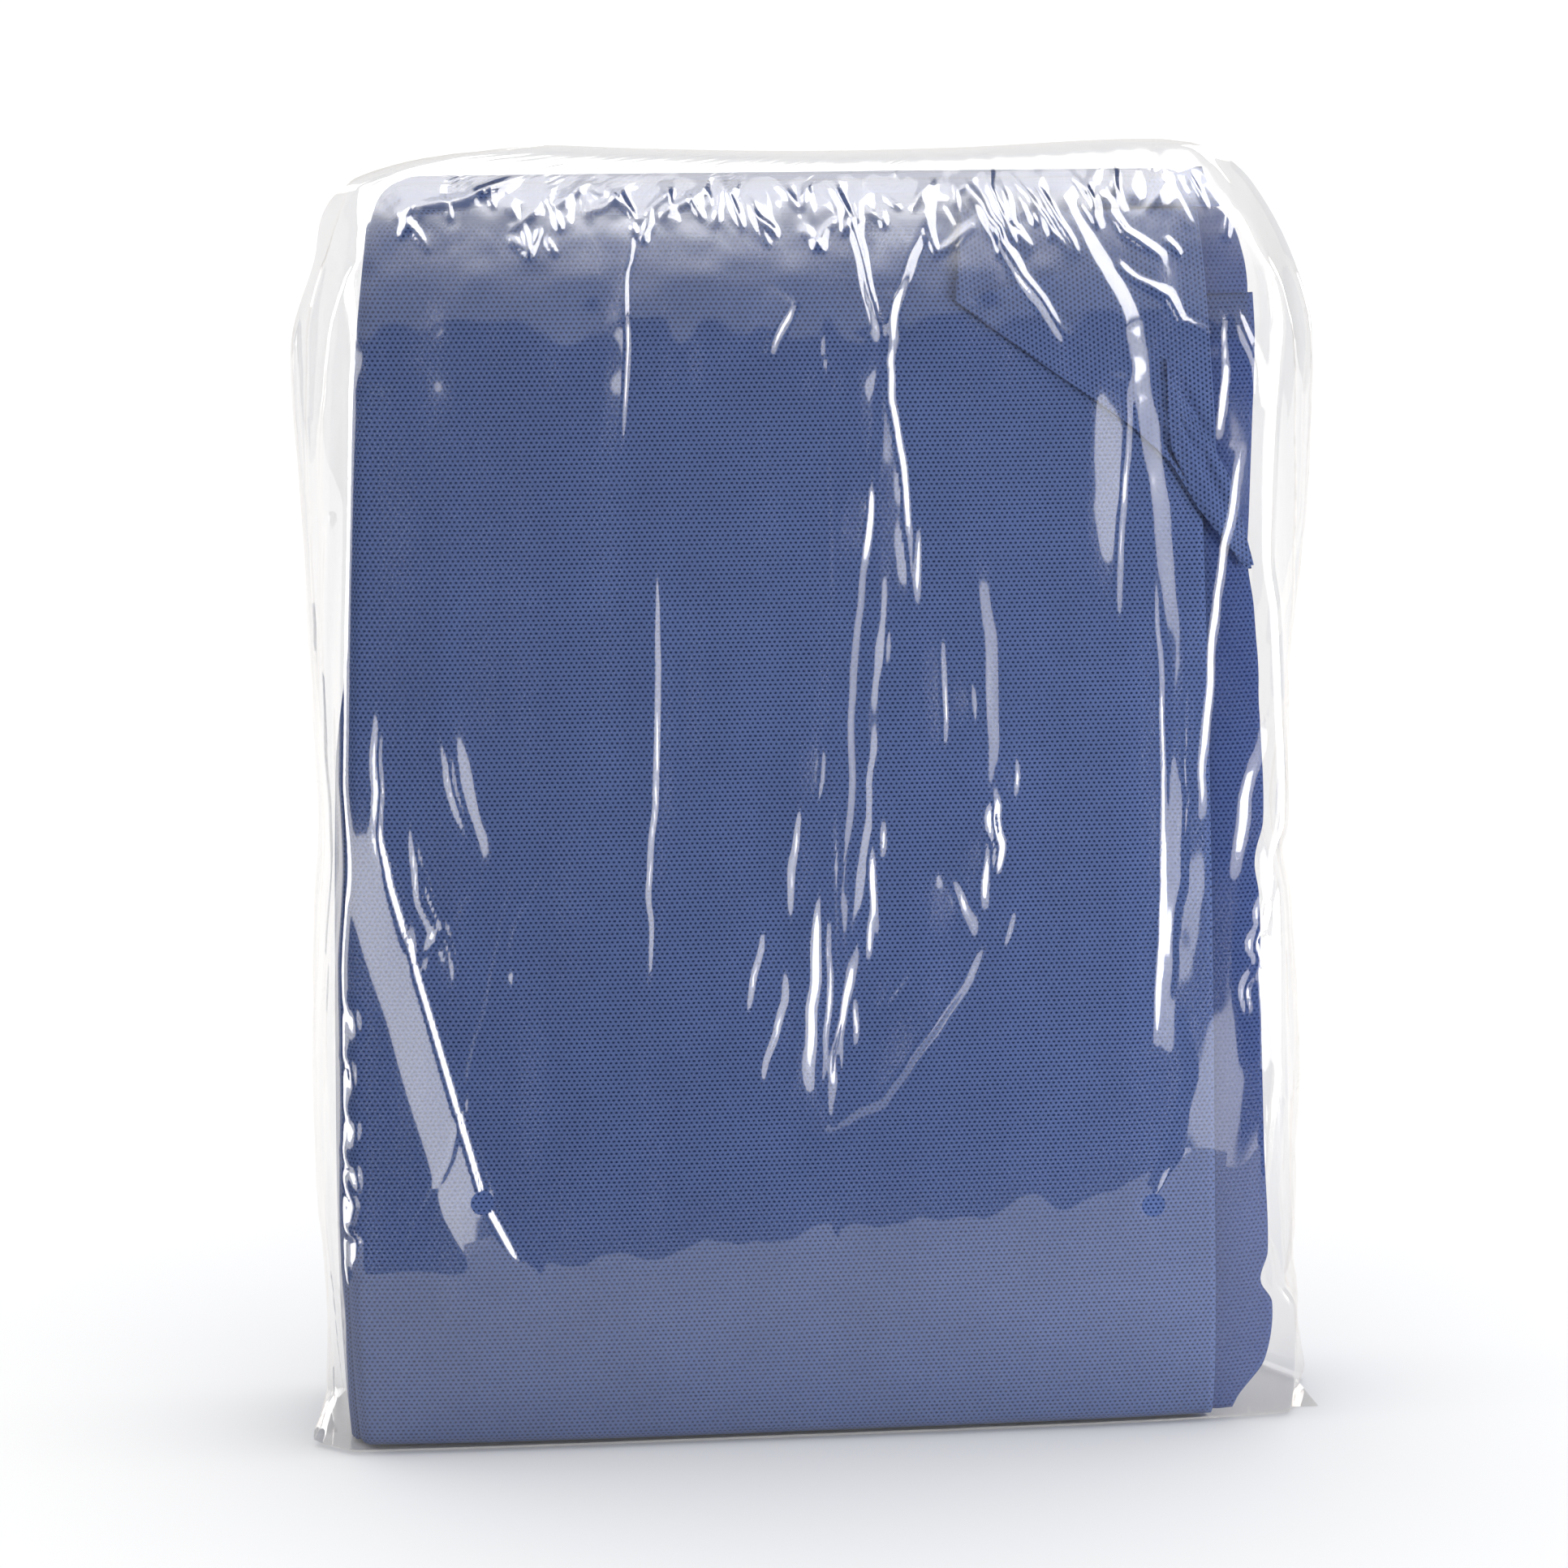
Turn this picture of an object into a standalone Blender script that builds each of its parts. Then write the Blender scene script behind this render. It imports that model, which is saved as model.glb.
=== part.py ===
"""A folded exam gown in its clear bag, standing on its bottom edge.

Blue bonded cloth is folded flat and packed upright. The front fold is the gown's body panel. Another
panel, a sleeve and two upper layers stick out at its right and top, a back fold closes the pack, and
the layers between them are one rounded solid with a ridge for each fold at its edges.
The front faces -Y and the origin is on the floor under the middle of the pack.
"""

import math

import bmesh
import bpy
import numpy as np
from mathutils import Vector

MM = 0.001

# Sizes in millimetres.
CLOTH_WALL = 1.5
FILM_WALL = 1.0
FLOOR_OF_CLOTH = FILM_WALL + 0.3
PANEL_TOP = 388.0
PANEL_GAP = 0.45
UNDER_DEPTH = 2.0
FOLD_RADIUS = 4.0
SPINE_RETURN = 7.0
HEM_RETURN = 5.0
HEM_STEP = 2.9
DROOP_ZONE = (127.0, 146.0)
BAG_HEIGHT = 410.5
VENT_DIAMETER = 7.7
VENTS = ((-113.0, 84.0), (102.8, 75.3))

# The face bulges low down and leans back above. Its side edges fall back a little too.
FACE_MIDDLE = -6.0
FACE_HALF_WIDTH = 148.0
EDGE_FALL = 4.5
FRONT_FACE = {
    "height": (0, 8.1, 20.3, 45.5, 91.5, 142, 192.5, 243.5, 289, 324.5, 350, 370, 388.5, 402.5),
    "depth": (-41, -44.5, -47.5, -50, -51, -50.5, -47.5, -42.5, -35.5, -27, -18.5, -9, 3, 14),
}
BACK_FACE = {
    "height": (0, 8.1, 25.4, 81, 162, 263.5, 324.5, 365, 390.5, 402.5),
    "depth": (37, 41, 45, 48, 50, 50, 49, 46, 41, 36),
}
LEFT_FOLD = {
    "height": (0, 20.3, 50.5, 101.5, 208, 304, 350, 388.5),
    "x": (-150.5, -152.5, -154, -154.5, -153.2, -149.5, -146.5, -141),
}
FRONT_PANEL_EDGE = {
    "height": (0, 121.5, 294, 388.5),
    "x": (125.5, 122.6, 120.3, 120.0),
}
UNDER_PANEL_EDGE = {
    "height": (0, 7.1, 18.3, 38.5, 46.5, 56, 91.5, 132, 173.5, 185.5, 197.5, 232, 265.5, 280, 296,
               324.5, 350, 364),
    "x": (132, 135, 143, 145, 140.5, 143, 141, 139.5, 138.5, 136.8, 140, 139, 137.5, 135.6, 136.6,
          139, 141.5, 142),
}
SLEEVE_FOLD = {
    "height": (278, 283, 297, 311.5, 323.5, 342.5, 362, 383.5, 390.5),
    "left": (133.5, 129.5, 118.5, 110, 97.3, 70, 43, 46.6, 47),
    "right": (135.5, 134.5, 129.5, 125.6, 125.3, 125, 125, 125, 125),
}
SHOULDER_LAYER = {
    "height": (365, 368, 376, 385.5, 391.5),
    "left": (120.55, 120.55, 120.55, 120.55, 120.55),
    "right": (140.5, 140, 140, 137.5, 134),
}
NECK_CORNER = {
    "height": (390.5, 393.5, 397.5, 402.5),
    "left": (92, 96, 106, 127.4),
    "right": (133.5, 132.5, 131, 129.4),
}
# One row for each hidden folded layer, front to back: how far its fold stands in from the left
# fold, the reach of its right edge, its top and its bottom.
HIDDEN_LAYERS = {
    "left_inset": (3.2, 1.0, 1.6, 2.6, 4.4, 7.2, 13.2, 16.8),
    "right": (130, 133, 136, 132, 135, 131, 132, 126),
    "top": (384.5, 396.5, 399, 400.5, 401, 400, 396, 386),
    "bottom": (4.6, 1.3, 1.3, 1.3, 1.3, 1.3, 1.3, 4.6),
}
RIGHT_EDGE_SHAPE = {
    "height": (0, 20.3, 61, 203, 304, 365, 402.5),
    "x": (-7, -1, 0, -1.5, -1, 0, -4),
}
GROOVE = 2.6
LAYER_CORNER = 14.0

# Level sections of the bag: its two side seams, and its faces at mid-width.
BAG_SEAMS = {
    "height": (0, 3, 12.2, 40.5, 81, 117.5, 162, 194.5, 233, 272, 304, 350, 375, 396.5, 405.5,
               409.5, 410.5),
    "left": (-162, -166, -161, -159, -161, -161.5, -159.5, -157.5, -159.5, -162, -164, -166, -158.5,
             -151, -128, -98, -84),
    "left_depth": (-30, -31, -22, -10, 0, 4, 4, 4, 4, 4, 4, 5, 7, 12, 19, 23, 25),
    "right": (163, 166, 165, 161, 160, 162.5, 158, 151.5, 156.5, 160.5, 162.5, 163.5, 157, 146,
              137, 127, 118),
    "right_depth": (3, 4, 5, 5, 5, 5, 5, 5, 5, 5, 5, 5, 9, 16, 21, 25, 26),
}
BAG_FACES = {
    "height": (0, 3, 12.2, 25.4, 45.5, 91.5, 142, 192.5, 243.5, 289, 324.5, 350, 370, 388.5,
               399.5, 406.5, 410, 410.5),
    "front": (-43.5, -47.6, -50.6, -52.6, -54, -54.6, -54, -51.2, -46.4, -39.6, -31.4, -23.4,
              -14.8, -4, 4.5, 12, 19, 25),
    "back": (39.5, 43.6, 46.8, 49.2, 51.4, 53.2, 54.2, 54.6, 54.6, 54.4, 53.2, 51.8, 49.8, 46.2,
             42.4, 37, 31.5, 28),
}
BAG_TOP_WAVE = {
    "x": (-150, -118, -88, -50, 0, 50, 104, 128, 150),
    "rise": (-2, -0.6, 0, -1.6, -2.8, -2.2, 0, -0.6, -2.5),
}


def clear_scene():
    for thing in list(bpy.data.objects):
        bpy.data.objects.remove(thing, do_unlink=True)


def collection(name):
    made = bpy.data.collections.new(name)
    bpy.context.scene.collection.children.link(made)
    return made


def material(name, colour, roughness, alpha=1.0, transmission=0.0):
    made = bpy.data.materials.new(name)
    made.use_nodes = True
    shader = made.node_tree.nodes["Principled BSDF"]
    shader.inputs["Base Color"].default_value = (*colour, 1.0)
    shader.inputs["Roughness"].default_value = roughness
    shader.inputs["Metallic"].default_value = 0.0
    shader.inputs["Alpha"].default_value = alpha
    shader.inputs["Transmission Weight"].default_value = transmission
    made.diffuse_color = (*colour, alpha)
    return made


def read(table, column, at):
    """A column of a table at any value of its first column, through a smooth curve."""
    stations, values = next(iter(table.values())), table[column]
    at = min(max(at, stations[0]), stations[-1])
    row = min(max(int(np.searchsorted(stations, at, side="right")) - 1, 0), len(stations) - 2)

    def slope(index):
        before, after = max(index - 1, 0), min(index + 1, len(stations) - 1)
        return (values[after] - values[before]) / (stations[after] - stations[before])

    span = stations[row + 1] - stations[row]
    t = (at - stations[row]) / span
    rise = values[row + 1] - values[row]
    start, end = slope(row) * span, slope(row + 1) * span
    bend, turn = 3 * rise - 2 * start - end, start + end - 2 * rise
    return values[row] + start * t + bend * t**2 + turn * t**3


def depth_of_face(side, x, height):
    """The depth of the pack's front or back face, whose side edges fall towards the middle."""
    fall = EDGE_FALL * min(abs((x - FACE_MIDDLE) / FACE_HALF_WIDTH), 1.05) ** 4
    if side == "front":
        return read(FRONT_FACE, "depth", height) + fall
    return read(BACK_FACE, "depth", height) - fall


def on_face(side, x, height, lift=0.0):
    """A point on a face of the pack, moved out along the face's own normal."""
    step = 1.0
    outwards = -1.0 if side == "front" else 1.0
    rise = depth_of_face(side, x, height + step) - depth_of_face(side, x, height - step)
    run = depth_of_face(side, x + step, height) - depth_of_face(side, x - step, height)
    normal = Vector((-run / (2 * step), 1.0, -rise / (2 * step))).normalized() * outwards
    return Vector((x, depth_of_face(side, x, height), height)) + normal * lift


def behind_face(side, x, height, distance):
    """The depth at which a point of this height lies a square distance behind a face."""
    rise = depth_of_face(side, x, height + 1.0) - depth_of_face(side, x, height - 1.0)
    inwards = 1.0 if side == "front" else -1.0
    return depth_of_face(side, x, height) + inwards * distance * math.hypot(1.0, rise / 2.0)


def smooth_step(value, start, end):
    t = min(max((value - start) / (end - start), 0.0), 1.0)
    return t * t * (3.0 - 2.0 * t)


def place(mesh, name, group, finish):
    mesh.materials.append(finish)
    made = bpy.data.objects.new(name, mesh)
    group.objects.link(made)
    mesh.shade_smooth()
    mesh.set_sharp_from_angle(angle=math.radians(40.0))
    return made


def cloth_sheet(name, rows, group, finish):
    """A cloth wall: an open surface through rows of points, thickened towards its inner side."""
    bm = bmesh.new()
    grid = [[bm.verts.new(point * MM) for point in row] for row in rows]
    for lower, upper in zip(grid, grid[1:]):
        for a, b, c, d in zip(lower, lower[1:], upper[1:], upper):
            bm.faces.new((a, b, c, d))
    mesh = bpy.data.meshes.new(name)
    bm.to_mesh(mesh)
    bm.free()
    sheet = place(mesh, name, group, finish)
    wall = sheet.modifiers.new("cloth thickness", "SOLIDIFY")
    wall.thickness = CLOTH_WALL * MM
    wall.offset = -1.0
    return sheet


def lofted(name, rings, group, finish):
    """A closed solid through rings of equal count, with a flat face on the first and last."""
    bm = bmesh.new()
    loops = [[bm.verts.new(point * MM) for point in ring] for ring in rings]
    for lower, upper in zip(loops, loops[1:]):
        for index in range(len(lower)):
            after = (index + 1) % len(lower)
            bm.faces.new((lower[index], lower[after], upper[after], upper[index]))
    bm.faces.new(loops[0])
    bm.faces.new(loops[-1])
    bmesh.ops.recalc_face_normals(bm, faces=bm.faces)
    mesh = bpy.data.meshes.new(name)
    bm.to_mesh(mesh)
    bm.free()
    return place(mesh, name, group, finish)


def fold_step(step, reach):
    """How far (out, back) the cloth has come at a step of its turn round a fold: a quarter turn in
    three steps, then straight back."""
    turn = math.radians(30.0 * min(step, 3))
    back = reach if step > 3 else FOLD_RADIUS * (1.0 - math.cos(turn))
    return FOLD_RADIUS * math.sin(turn), back


def folded_panel(name, side, right_edge, left_inset, top, group, finish):
    """A gown's outer panel: flat over the pack's face, folded back round the left spine, and
    turned in a little at its top and its bottom. Where two folds meet, the corner is rounded."""
    lowest = FLOOR_OF_CLOTH + FOLD_RADIUS
    heights = [lowest + h for h in (0, 6, 16, 32, 56, 84, 114, 148, 180, 211)]
    heights += [243, 270, 292, 310, 325, 338, 350, 361, 372, top - FOLD_RADIUS]
    levels = [(heights[0], step, -1.0) for step in (4, 3, 2, 1)]
    levels += [(height, 0, 0.0) for height in heights]
    levels += [(heights[-1], step, 1.0) for step in (1, 2, 3, 4)]
    inwards = 1.0 if side == "front" else -1.0
    rows = []
    for height, hem, up in levels:
        right = right_edge(height)
        left = read(LEFT_FOLD, "x", height) + left_inset + FOLD_RADIUS
        columns = [(right + (left - right) * share, 0) for share in np.linspace(0.0, 1.0, 13)]
        columns += [(left, step) for step in (1, 2, 3, 4)]
        row = []
        for x, spine in columns:
            step = max(hem, spine)
            sideways = 90.0 if spine >= hem else 0.0
            if hem and spine:
                sideways = 90.0 - 45.0 * hem / spine if spine >= hem else 45.0 * spine / hem
            reach = HEM_RETURN + (SPINE_RETURN - HEM_RETURN) * sideways / 90.0
            out, back = fold_step(step, reach)
            turn = math.radians(sideways)
            z = height + up * out * math.cos(turn)
            y = depth_of_face(side, x, z) + inwards * back
            row.append(Vector((x - (out * math.sin(turn) if spine else 0.0), y, z)))
        rows.append(row[::-1] if side == "front" else row)
    return cloth_sheet(name, rows, group, finish)


def lying_sheet(name, table, lift, heights, columns, group, finish, droop=0.0):
    """A flat-lying layer between a left and a right edge, at one lift from the front face. Where
    it stands out past the layers behind it, it may droop back."""
    rows = []
    for height in heights:
        left, right = read(table, "left", height), read(table, "right", height)
        row = []
        for share in np.linspace(0.0, 1.0, columns):
            x = left + (right - left) * share
            back = droop * smooth_step(x, *DROOP_ZONE)
            low = 1.0 - smooth_step(height, 0.0, 18.0)
            above_hem = HEM_STEP * low * (1.0 - smooth_step(x, 118.0, 128.0))
            row.append(on_face("front", x, height, lift) + Vector((0.0, back, above_hem)))
        rows.append(row)
    return cloth_sheet(name, rows, group, finish)


def layer_outline(row, inset):
    """The rim of one folded layer seen from the front, with round upper corners. The groove
    between two layers is cut in from the sides and the top, and the underside stays flat."""
    corner, foot = LAYER_CORNER, 3.0
    bottom, top = row["bottom"], row["top"] - inset

    def left(z):
        return read(LEFT_FOLD, "x", z) + row["left_inset"] + inset

    def right(z):
        return row["right"] + read(RIGHT_EDGE_SHAPE, "x", z) - inset

    low, high = bottom + foot, top - corner
    sides = np.linspace(low, high, 12)
    turns = [math.radians(angle) for angle in (22.5, 45.0, 67.5)]
    start, end = left(bottom), right(bottom)
    rim = [(start + (end - start) * share, bottom) for share in (0.5, 0.3, 0.12)]
    rim += [(start + foot, bottom), (start + foot * 0.3, bottom + foot * 0.3)]
    rim += [(left(z), z) for z in sides]
    rim += [
        (left(high) + corner * (1 - math.cos(turn)), high + corner * math.sin(turn)) for turn in turns
    ]
    top_left, top_right = left(high) + corner, right(high) - corner
    rim += [(top_left + (top_right - top_left) * share, top) for share in np.linspace(0, 1, 9)]
    rim += [
        (right(high) - corner * (1 - math.cos(turn)), high + corner * math.sin(turn))
        for turn in reversed(turns)
    ]
    rim += [(right(z), z) for z in sides[::-1]]
    rim += [(end - foot * 0.3, bottom + foot * 0.3), (end - foot, bottom)]
    rim += [(end + (start - end) * share, bottom) for share in (0.12, 0.3)]
    return rim


def hidden_layers(group, finish):
    """The folded layers between the outer panels: one solid whose rim has a ridge for each."""
    count = len(HIDDEN_LAYERS["top"])

    def row_of(layer):
        return {column: values[layer] for column, values in HIDDEN_LAYERS.items()}

    def clearance(side, x):
        if side == "back":
            return CLOTH_WALL + 0.8
        return CLOTH_WALL + 0.8 + (UNDER_DEPTH + 0.6) * smooth_step(x, 0.0, 36.0)

    def at_depth(rim, share):
        ring = []
        for x, z in rim:
            front = behind_face("front", x, z, clearance("front", x))
            back = behind_face("back", x, z, clearance("back", x))
            ring.append(Vector((x, front + (back - front) * share, z)))
        return ring

    def shrunk(row, share):
        middle_x, middle_z = -8.0, 190.0
        return [
            (middle_x + (x - middle_x) * share, middle_z + (z - middle_z) * share)
            for x, z in layer_outline(row, GROOVE)
        ]

    first, last = row_of(0), row_of(count - 1)
    rings = [at_depth(shrunk(first, share), 0.0) for share in (0.1, 0.3, 0.5, 0.66, 0.79, 0.88, 0.95)]
    for layer in range(count):
        row = row_of(layer)
        for inset, share in ((GROOVE, 0.02), (0.0, 0.28), (0.0, 0.72), (GROOVE, 0.98)):
            rings.append(at_depth(layer_outline(row, inset), (layer + share) / count))
    rings += [at_depth(shrunk(last, share), 1.0) for share in (0.95, 0.85, 0.6, 0.3, 0.1)]
    return lofted("hidden_layers", rings, group, finish)


def bag_ring(height, drop, wall):
    """A level section of the bag, moved in by its wall and to its own height by drop."""
    front, back = (read(BAG_FACES, side, height) for side in ("front", "back"))
    left, right = (read(BAG_SEAMS, side, height) for side in ("left", "right"))
    left_depth, right_depth = (read(BAG_SEAMS, f"{side}_depth", height) for side in ("left", "right"))
    tilt = abs(read(BAG_FACES, "front", height + 2.0) - read(BAG_FACES, "front", height - 2.0)) / 4.0
    push = wall * math.hypot(1.0, min(tilt, 1.5))
    corner_left = max(read(LEFT_FOLD, "x", height) - 3.0, left + 2.5) + wall
    corner_right = min(read(UNDER_PANEL_EDGE, "x", 30.0) + 1.5, right - 4.0) - wall
    if height > 350.0:
        corner_right = min(corner_right, 146.5 - 0.35 * (height - 350.0) - wall)
    seam_left, seam_right = left + 1.8 * wall, right - 1.8 * wall
    ring = []

    def at(x, y):
        wave = read(BAG_TOP_WAVE, "rise", x) * smooth_step(height, 377.0, 409.5)
        ring.append(Vector((x, y, height + drop + wave)))

    def across(start, end, depth, inwards):
        for share in np.linspace(0.0, 1.0, 15):
            x = start + (end - start) * share
            fall = EDGE_FALL * min(abs((x - FACE_MIDDLE) / FACE_HALF_WIDTH), 1.05) ** 4
            fall *= 1.0 - smooth_step(height, 375.0, 405.5)
            at(x, depth + inwards * (fall + push))

    def side(corner_x, corner_y, seam_x, seam_y):
        for share in (0.3, 0.62, 0.86):
            bow = math.copysign(0.64 * math.sin(math.pi * share), seam_x)
            x = corner_x + (seam_x - corner_x) * share + bow
            at(x, corner_y + (seam_y - corner_y) * share)

    across(corner_left, corner_right, front, 1.0)
    side(corner_right, ring[-1].y, seam_right, right_depth)
    at(seam_right, right_depth)
    start_back = len(ring)
    across(corner_right, corner_left, back, -1.0)
    first_back, last_back = ring[start_back].copy(), ring[-1].copy()
    back_points = ring[start_back:]
    del ring[start_back:]
    right_side = len(ring)
    side(corner_right, first_back.y, seam_right, right_depth)
    ring[right_side:] = ring[right_side:][::-1]
    ring.extend(back_points)
    side(corner_left, last_back.y, seam_left, left_depth)
    at(seam_left, left_depth)
    left_side = len(ring)
    side(corner_left, ring[0].y, seam_left, left_depth)
    ring[left_side:] = ring[left_side:][::-1]
    return ring


def clear_bag(group, cutters, finish):
    """The film bag: its outer form, hollowed by an inner form, with a pair of vent holes punched
    through both faces."""
    levels = (0, 1, 3, 7, 12, 20, 32, 50, 75, 101, 132, 162, 180, 195, 211, 233, 258, 284, 307, 330)
    levels += (350, 363, 375, 386, 396, 402.5, 406.5, 409, 410.2, 410.5)
    bag = lofted("clear_bag", [bag_ring(level, 0.0, 0.0) for level in levels], group, finish)
    inner_rings = [
        bag_ring(level, FILM_WALL * (1.0 - 2.0 * level / BAG_HEIGHT), FILM_WALL) for level in levels
    ]
    inner = lofted("inside_of_bag", inner_rings, cutters, finish)
    punches = []
    for number, (x, height) in enumerate(VENTS, 1):
        bpy.ops.mesh.primitive_cylinder_add(
            vertices=20,
            radius=VENT_DIAMETER / 2 * MM,
            depth=160 * MM,
            location=(x * MM, 0.0, height * MM),
            rotation=(math.radians(90.0), 0.0, 0.0),
        )
        punch = bpy.context.active_object
        punch.name = f"vent_punch_{number}"
        for owner in list(punch.users_collection):
            owner.objects.unlink(punch)
        cutters.objects.link(punch)
        punches.append(punch)
    for cutter in [inner, *punches]:
        cutter.hide_render = True
        cutter.display_type = "WIRE"
        cut = bag.modifiers.new(f"cut {cutter.name}", "BOOLEAN")
        cut.operation = "DIFFERENCE"
        cut.object = cutter
        cut.solver = "EXACT"
    return bag


def build():
    clear_scene()
    pack = collection("folded exam gown in a clear bag")
    cutters = collection("cutters")
    face_cloth = material("bonded cloth", (0.075, 0.115, 0.30), 0.75)
    inner_cloth = material("bonded cloth, hidden layers", (0.060, 0.095, 0.26), 0.78)
    film = material("clear film", (0.93, 0.95, 0.97), 0.12, alpha=0.3)

    hidden_layers(pack, inner_cloth)
    folded_panel(
        "front_panel",
        "front",
        lambda z: read(FRONT_PANEL_EDGE, "x", z),
        0.0,
        PANEL_TOP,
        pack,
        face_cloth,
    )
    folded_panel("back_panel", "back", lambda z: 122.0, 13.0, PANEL_TOP + 2.0, pack, face_cloth)

    under_edge = dict(UNDER_PANEL_EDGE, left=(66.0,) * len(UNDER_PANEL_EDGE["x"]))
    under_edge["right"] = under_edge.pop("x")
    under_heights = [2.2, 7, 18, 29, 38.5, 46.5, 56, 73, 91.5, 112, 132, 153, 173.5, 185.5, 197.5]
    under_heights += [215, 232, 250, 265.5, 280, 296, 311, 324.5, 338, 350, 357, 364]
    lying_sheet("under_panel", under_edge, -UNDER_DEPTH, under_heights, 6, pack, face_cloth, droop=3.0)

    sleeve_heights = [278, 281, 285, 291, 297, 304, 311, 317.5, 323.5, 333, 343, 352, 358.5]
    sleeve_heights += [366, 374, 382, 388]
    lying_sheet(
        "sleeve_fold", SLEEVE_FOLD, CLOTH_WALL + PANEL_GAP, sleeve_heights, 9, pack, face_cloth
    )
    lying_sheet(
        "shoulder_layer",
        SHOULDER_LAYER,
        -UNDER_DEPTH,
        [365.6, 368, 372, 376.5, 381.5, 385.5, 388.5, 391.5],
        4,
        pack,
        face_cloth,
        droop=2.0,
    )
    lying_sheet(
        "neck_corner", NECK_CORNER, -1.2, [392.4, 393.6, 395, 397, 399, 401, 402.5], 6, pack, face_cloth
    )
    clear_bag(pack, cutters, film)


build()
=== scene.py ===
import math

import bmesh
import bpy
import numpy as np
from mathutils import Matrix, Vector


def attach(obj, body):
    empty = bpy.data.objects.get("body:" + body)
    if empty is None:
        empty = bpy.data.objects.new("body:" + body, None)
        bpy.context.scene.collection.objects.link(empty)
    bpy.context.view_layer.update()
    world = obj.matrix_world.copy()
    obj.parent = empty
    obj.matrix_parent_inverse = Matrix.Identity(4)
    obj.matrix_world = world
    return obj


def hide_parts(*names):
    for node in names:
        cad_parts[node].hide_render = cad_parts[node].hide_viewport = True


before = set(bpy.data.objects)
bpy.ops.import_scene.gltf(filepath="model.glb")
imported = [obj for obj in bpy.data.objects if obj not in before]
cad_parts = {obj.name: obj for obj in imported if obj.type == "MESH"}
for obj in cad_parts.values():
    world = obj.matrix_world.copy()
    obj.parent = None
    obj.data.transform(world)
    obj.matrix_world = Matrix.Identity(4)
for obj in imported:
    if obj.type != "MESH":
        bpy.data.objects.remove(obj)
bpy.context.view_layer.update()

# The view: a camera in front of the pack, a little to its left and above it, as a studio product
# picture is taken, with a long lens.
MM = 0.001
VIEW_AZIMUTH, VIEW_ELEVATION = math.radians(-8.0), math.radians(10.0)
VIEW_DISTANCE = 1.95
VIEW_TARGET = Vector((-0.0095, 0.0, 0.206))
looking = Vector(
    (
        -math.sin(VIEW_AZIMUTH) * math.cos(VIEW_ELEVATION),
        math.cos(VIEW_AZIMUTH) * math.cos(VIEW_ELEVATION),
        -math.sin(VIEW_ELEVATION),
    )
)
camera_data = bpy.data.cameras.new("camera")
camera_data.sensor_width = 36.0
camera_data.lens = 138.8
camera_data.clip_end = 50.0
camera = bpy.data.objects.new("camera", camera_data)
camera.location = VIEW_TARGET - looking * VIEW_DISTANCE
camera.rotation_mode = "QUATERNION"
camera.rotation_quaternion = looking.to_track_quat("-Z", "Y")
bpy.context.scene.collection.objects.link(camera)
bpy.context.scene.camera = camera
bpy.context.scene.view_settings.view_transform = "Standard"

# The studio: a white table that ends a forearm in front of the pack, a white wall behind it, and
# lamps in soft boxes above, at the left and at the right, with a dark room behind the camera.
TABLE_FRONT_EDGE = ((-6.0, -0.13), (-0.3, -0.18), (0.3, -0.40), (6.0, -0.5))
TABLE_REACH = 12.0
TABLE_WHITE = (0.93, 0.93, 0.93, 1.0)
LAMP_WHITE = (1.0, 1.0, 1.0, 1.0)

# Light passes through both faces of the bag and is thrown between them a few times, no more.
light_paths = bpy.context.scene.cycles
light_paths.max_bounces = 7
light_paths.diffuse_bounces = 2
light_paths.glossy_bounces = 3
light_paths.caustics_reflective = False


def node(tree, kind, settings=(), **sockets):
    """Adds a shader node, and gives its inputs a value or a link by their names or places."""
    made = tree.nodes.new(kind)
    for name, value in dict(settings).items():
        setattr(made, name, value)
    for name, value in sockets.items():
        key = int(name[1:]) if name[0] == "i" and name[1:].isdigit() else name.replace("_", " ")
        if isinstance(value, bpy.types.NodeSocket):
            tree.links.new(value, made.inputs[key])
        else:
            made.inputs[key].default_value = value
    return made


def maths(tree, operation, first, second=0.0, third=None):
    """One sum in a node tree, of two or three values or links."""
    sockets = {"i0": first, "i1": second}
    if third is not None:
        sockets["i2"] = third
    return node(tree, "ShaderNodeMath", {"operation": operation}, **sockets).outputs[0]


def ramp_up(tree, value, start, end):
    """0 below start and 1 above end, with a smooth rise between them."""
    made = node(
        tree,
        "ShaderNodeMapRange",
        {"interpolation_type": "SMOOTHSTEP"},
        Value=value,
        From_Min=start,
        From_Max=end,
    )
    return made.outputs["Result"]


def window(tree, value, low, high, soft):
    """1 between low and high, falling to 0 within soft outside them."""
    return maths(
        tree,
        "MULTIPLY",
        ramp_up(tree, value, low - soft, low),
        maths(tree, "SUBTRACT", 1.0, ramp_up(tree, value, high, high + soft)),
    )


# Each soft box: azimuth from and to, elevation from and to, how softly it ends, all in degrees,
# and its brightness. The boxes at the sides have a brighter middle.
SOFT_BOXES = {
    "above": (-75.0, 75.0, 40.0, 91.0, 2.5, 0.64),
    "above, upper part": (-80.0, 80.0, 66.0, 91.0, 20.0, 2.4),
    "overhead": (-181.0, 181.0, 74.0, 91.0, 14.0, 6.0),
    "left": (-46.0, -6.5, -60.0, 34.0, 1.5, 4.4),
    "left, middle": (-44.0, -25.0, -60.0, 30.0, 1.5, 12.0),
    "left, top": (-80.0, -16.0, 38.0, 72.0, 2.0, 11.0),
    "right": (24.0, 64.0, -60.0, 34.0, 1.5, 3.2),
    "right, middle": (38.0, 60.0, -60.0, 30.0, 1.5, 13.0),
    "right, top": (33.0, 80.0, 38.0, 72.0, 2.0, 11.0),
    "behind, left": (-168.0, -138.0, -20.0, 42.0, 2.0, 2.2),
    "behind, right": (141.0, 160.0, -20.0, 42.0, 2.0, 4.0),
}
ROOM_DARK = 0.03
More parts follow.
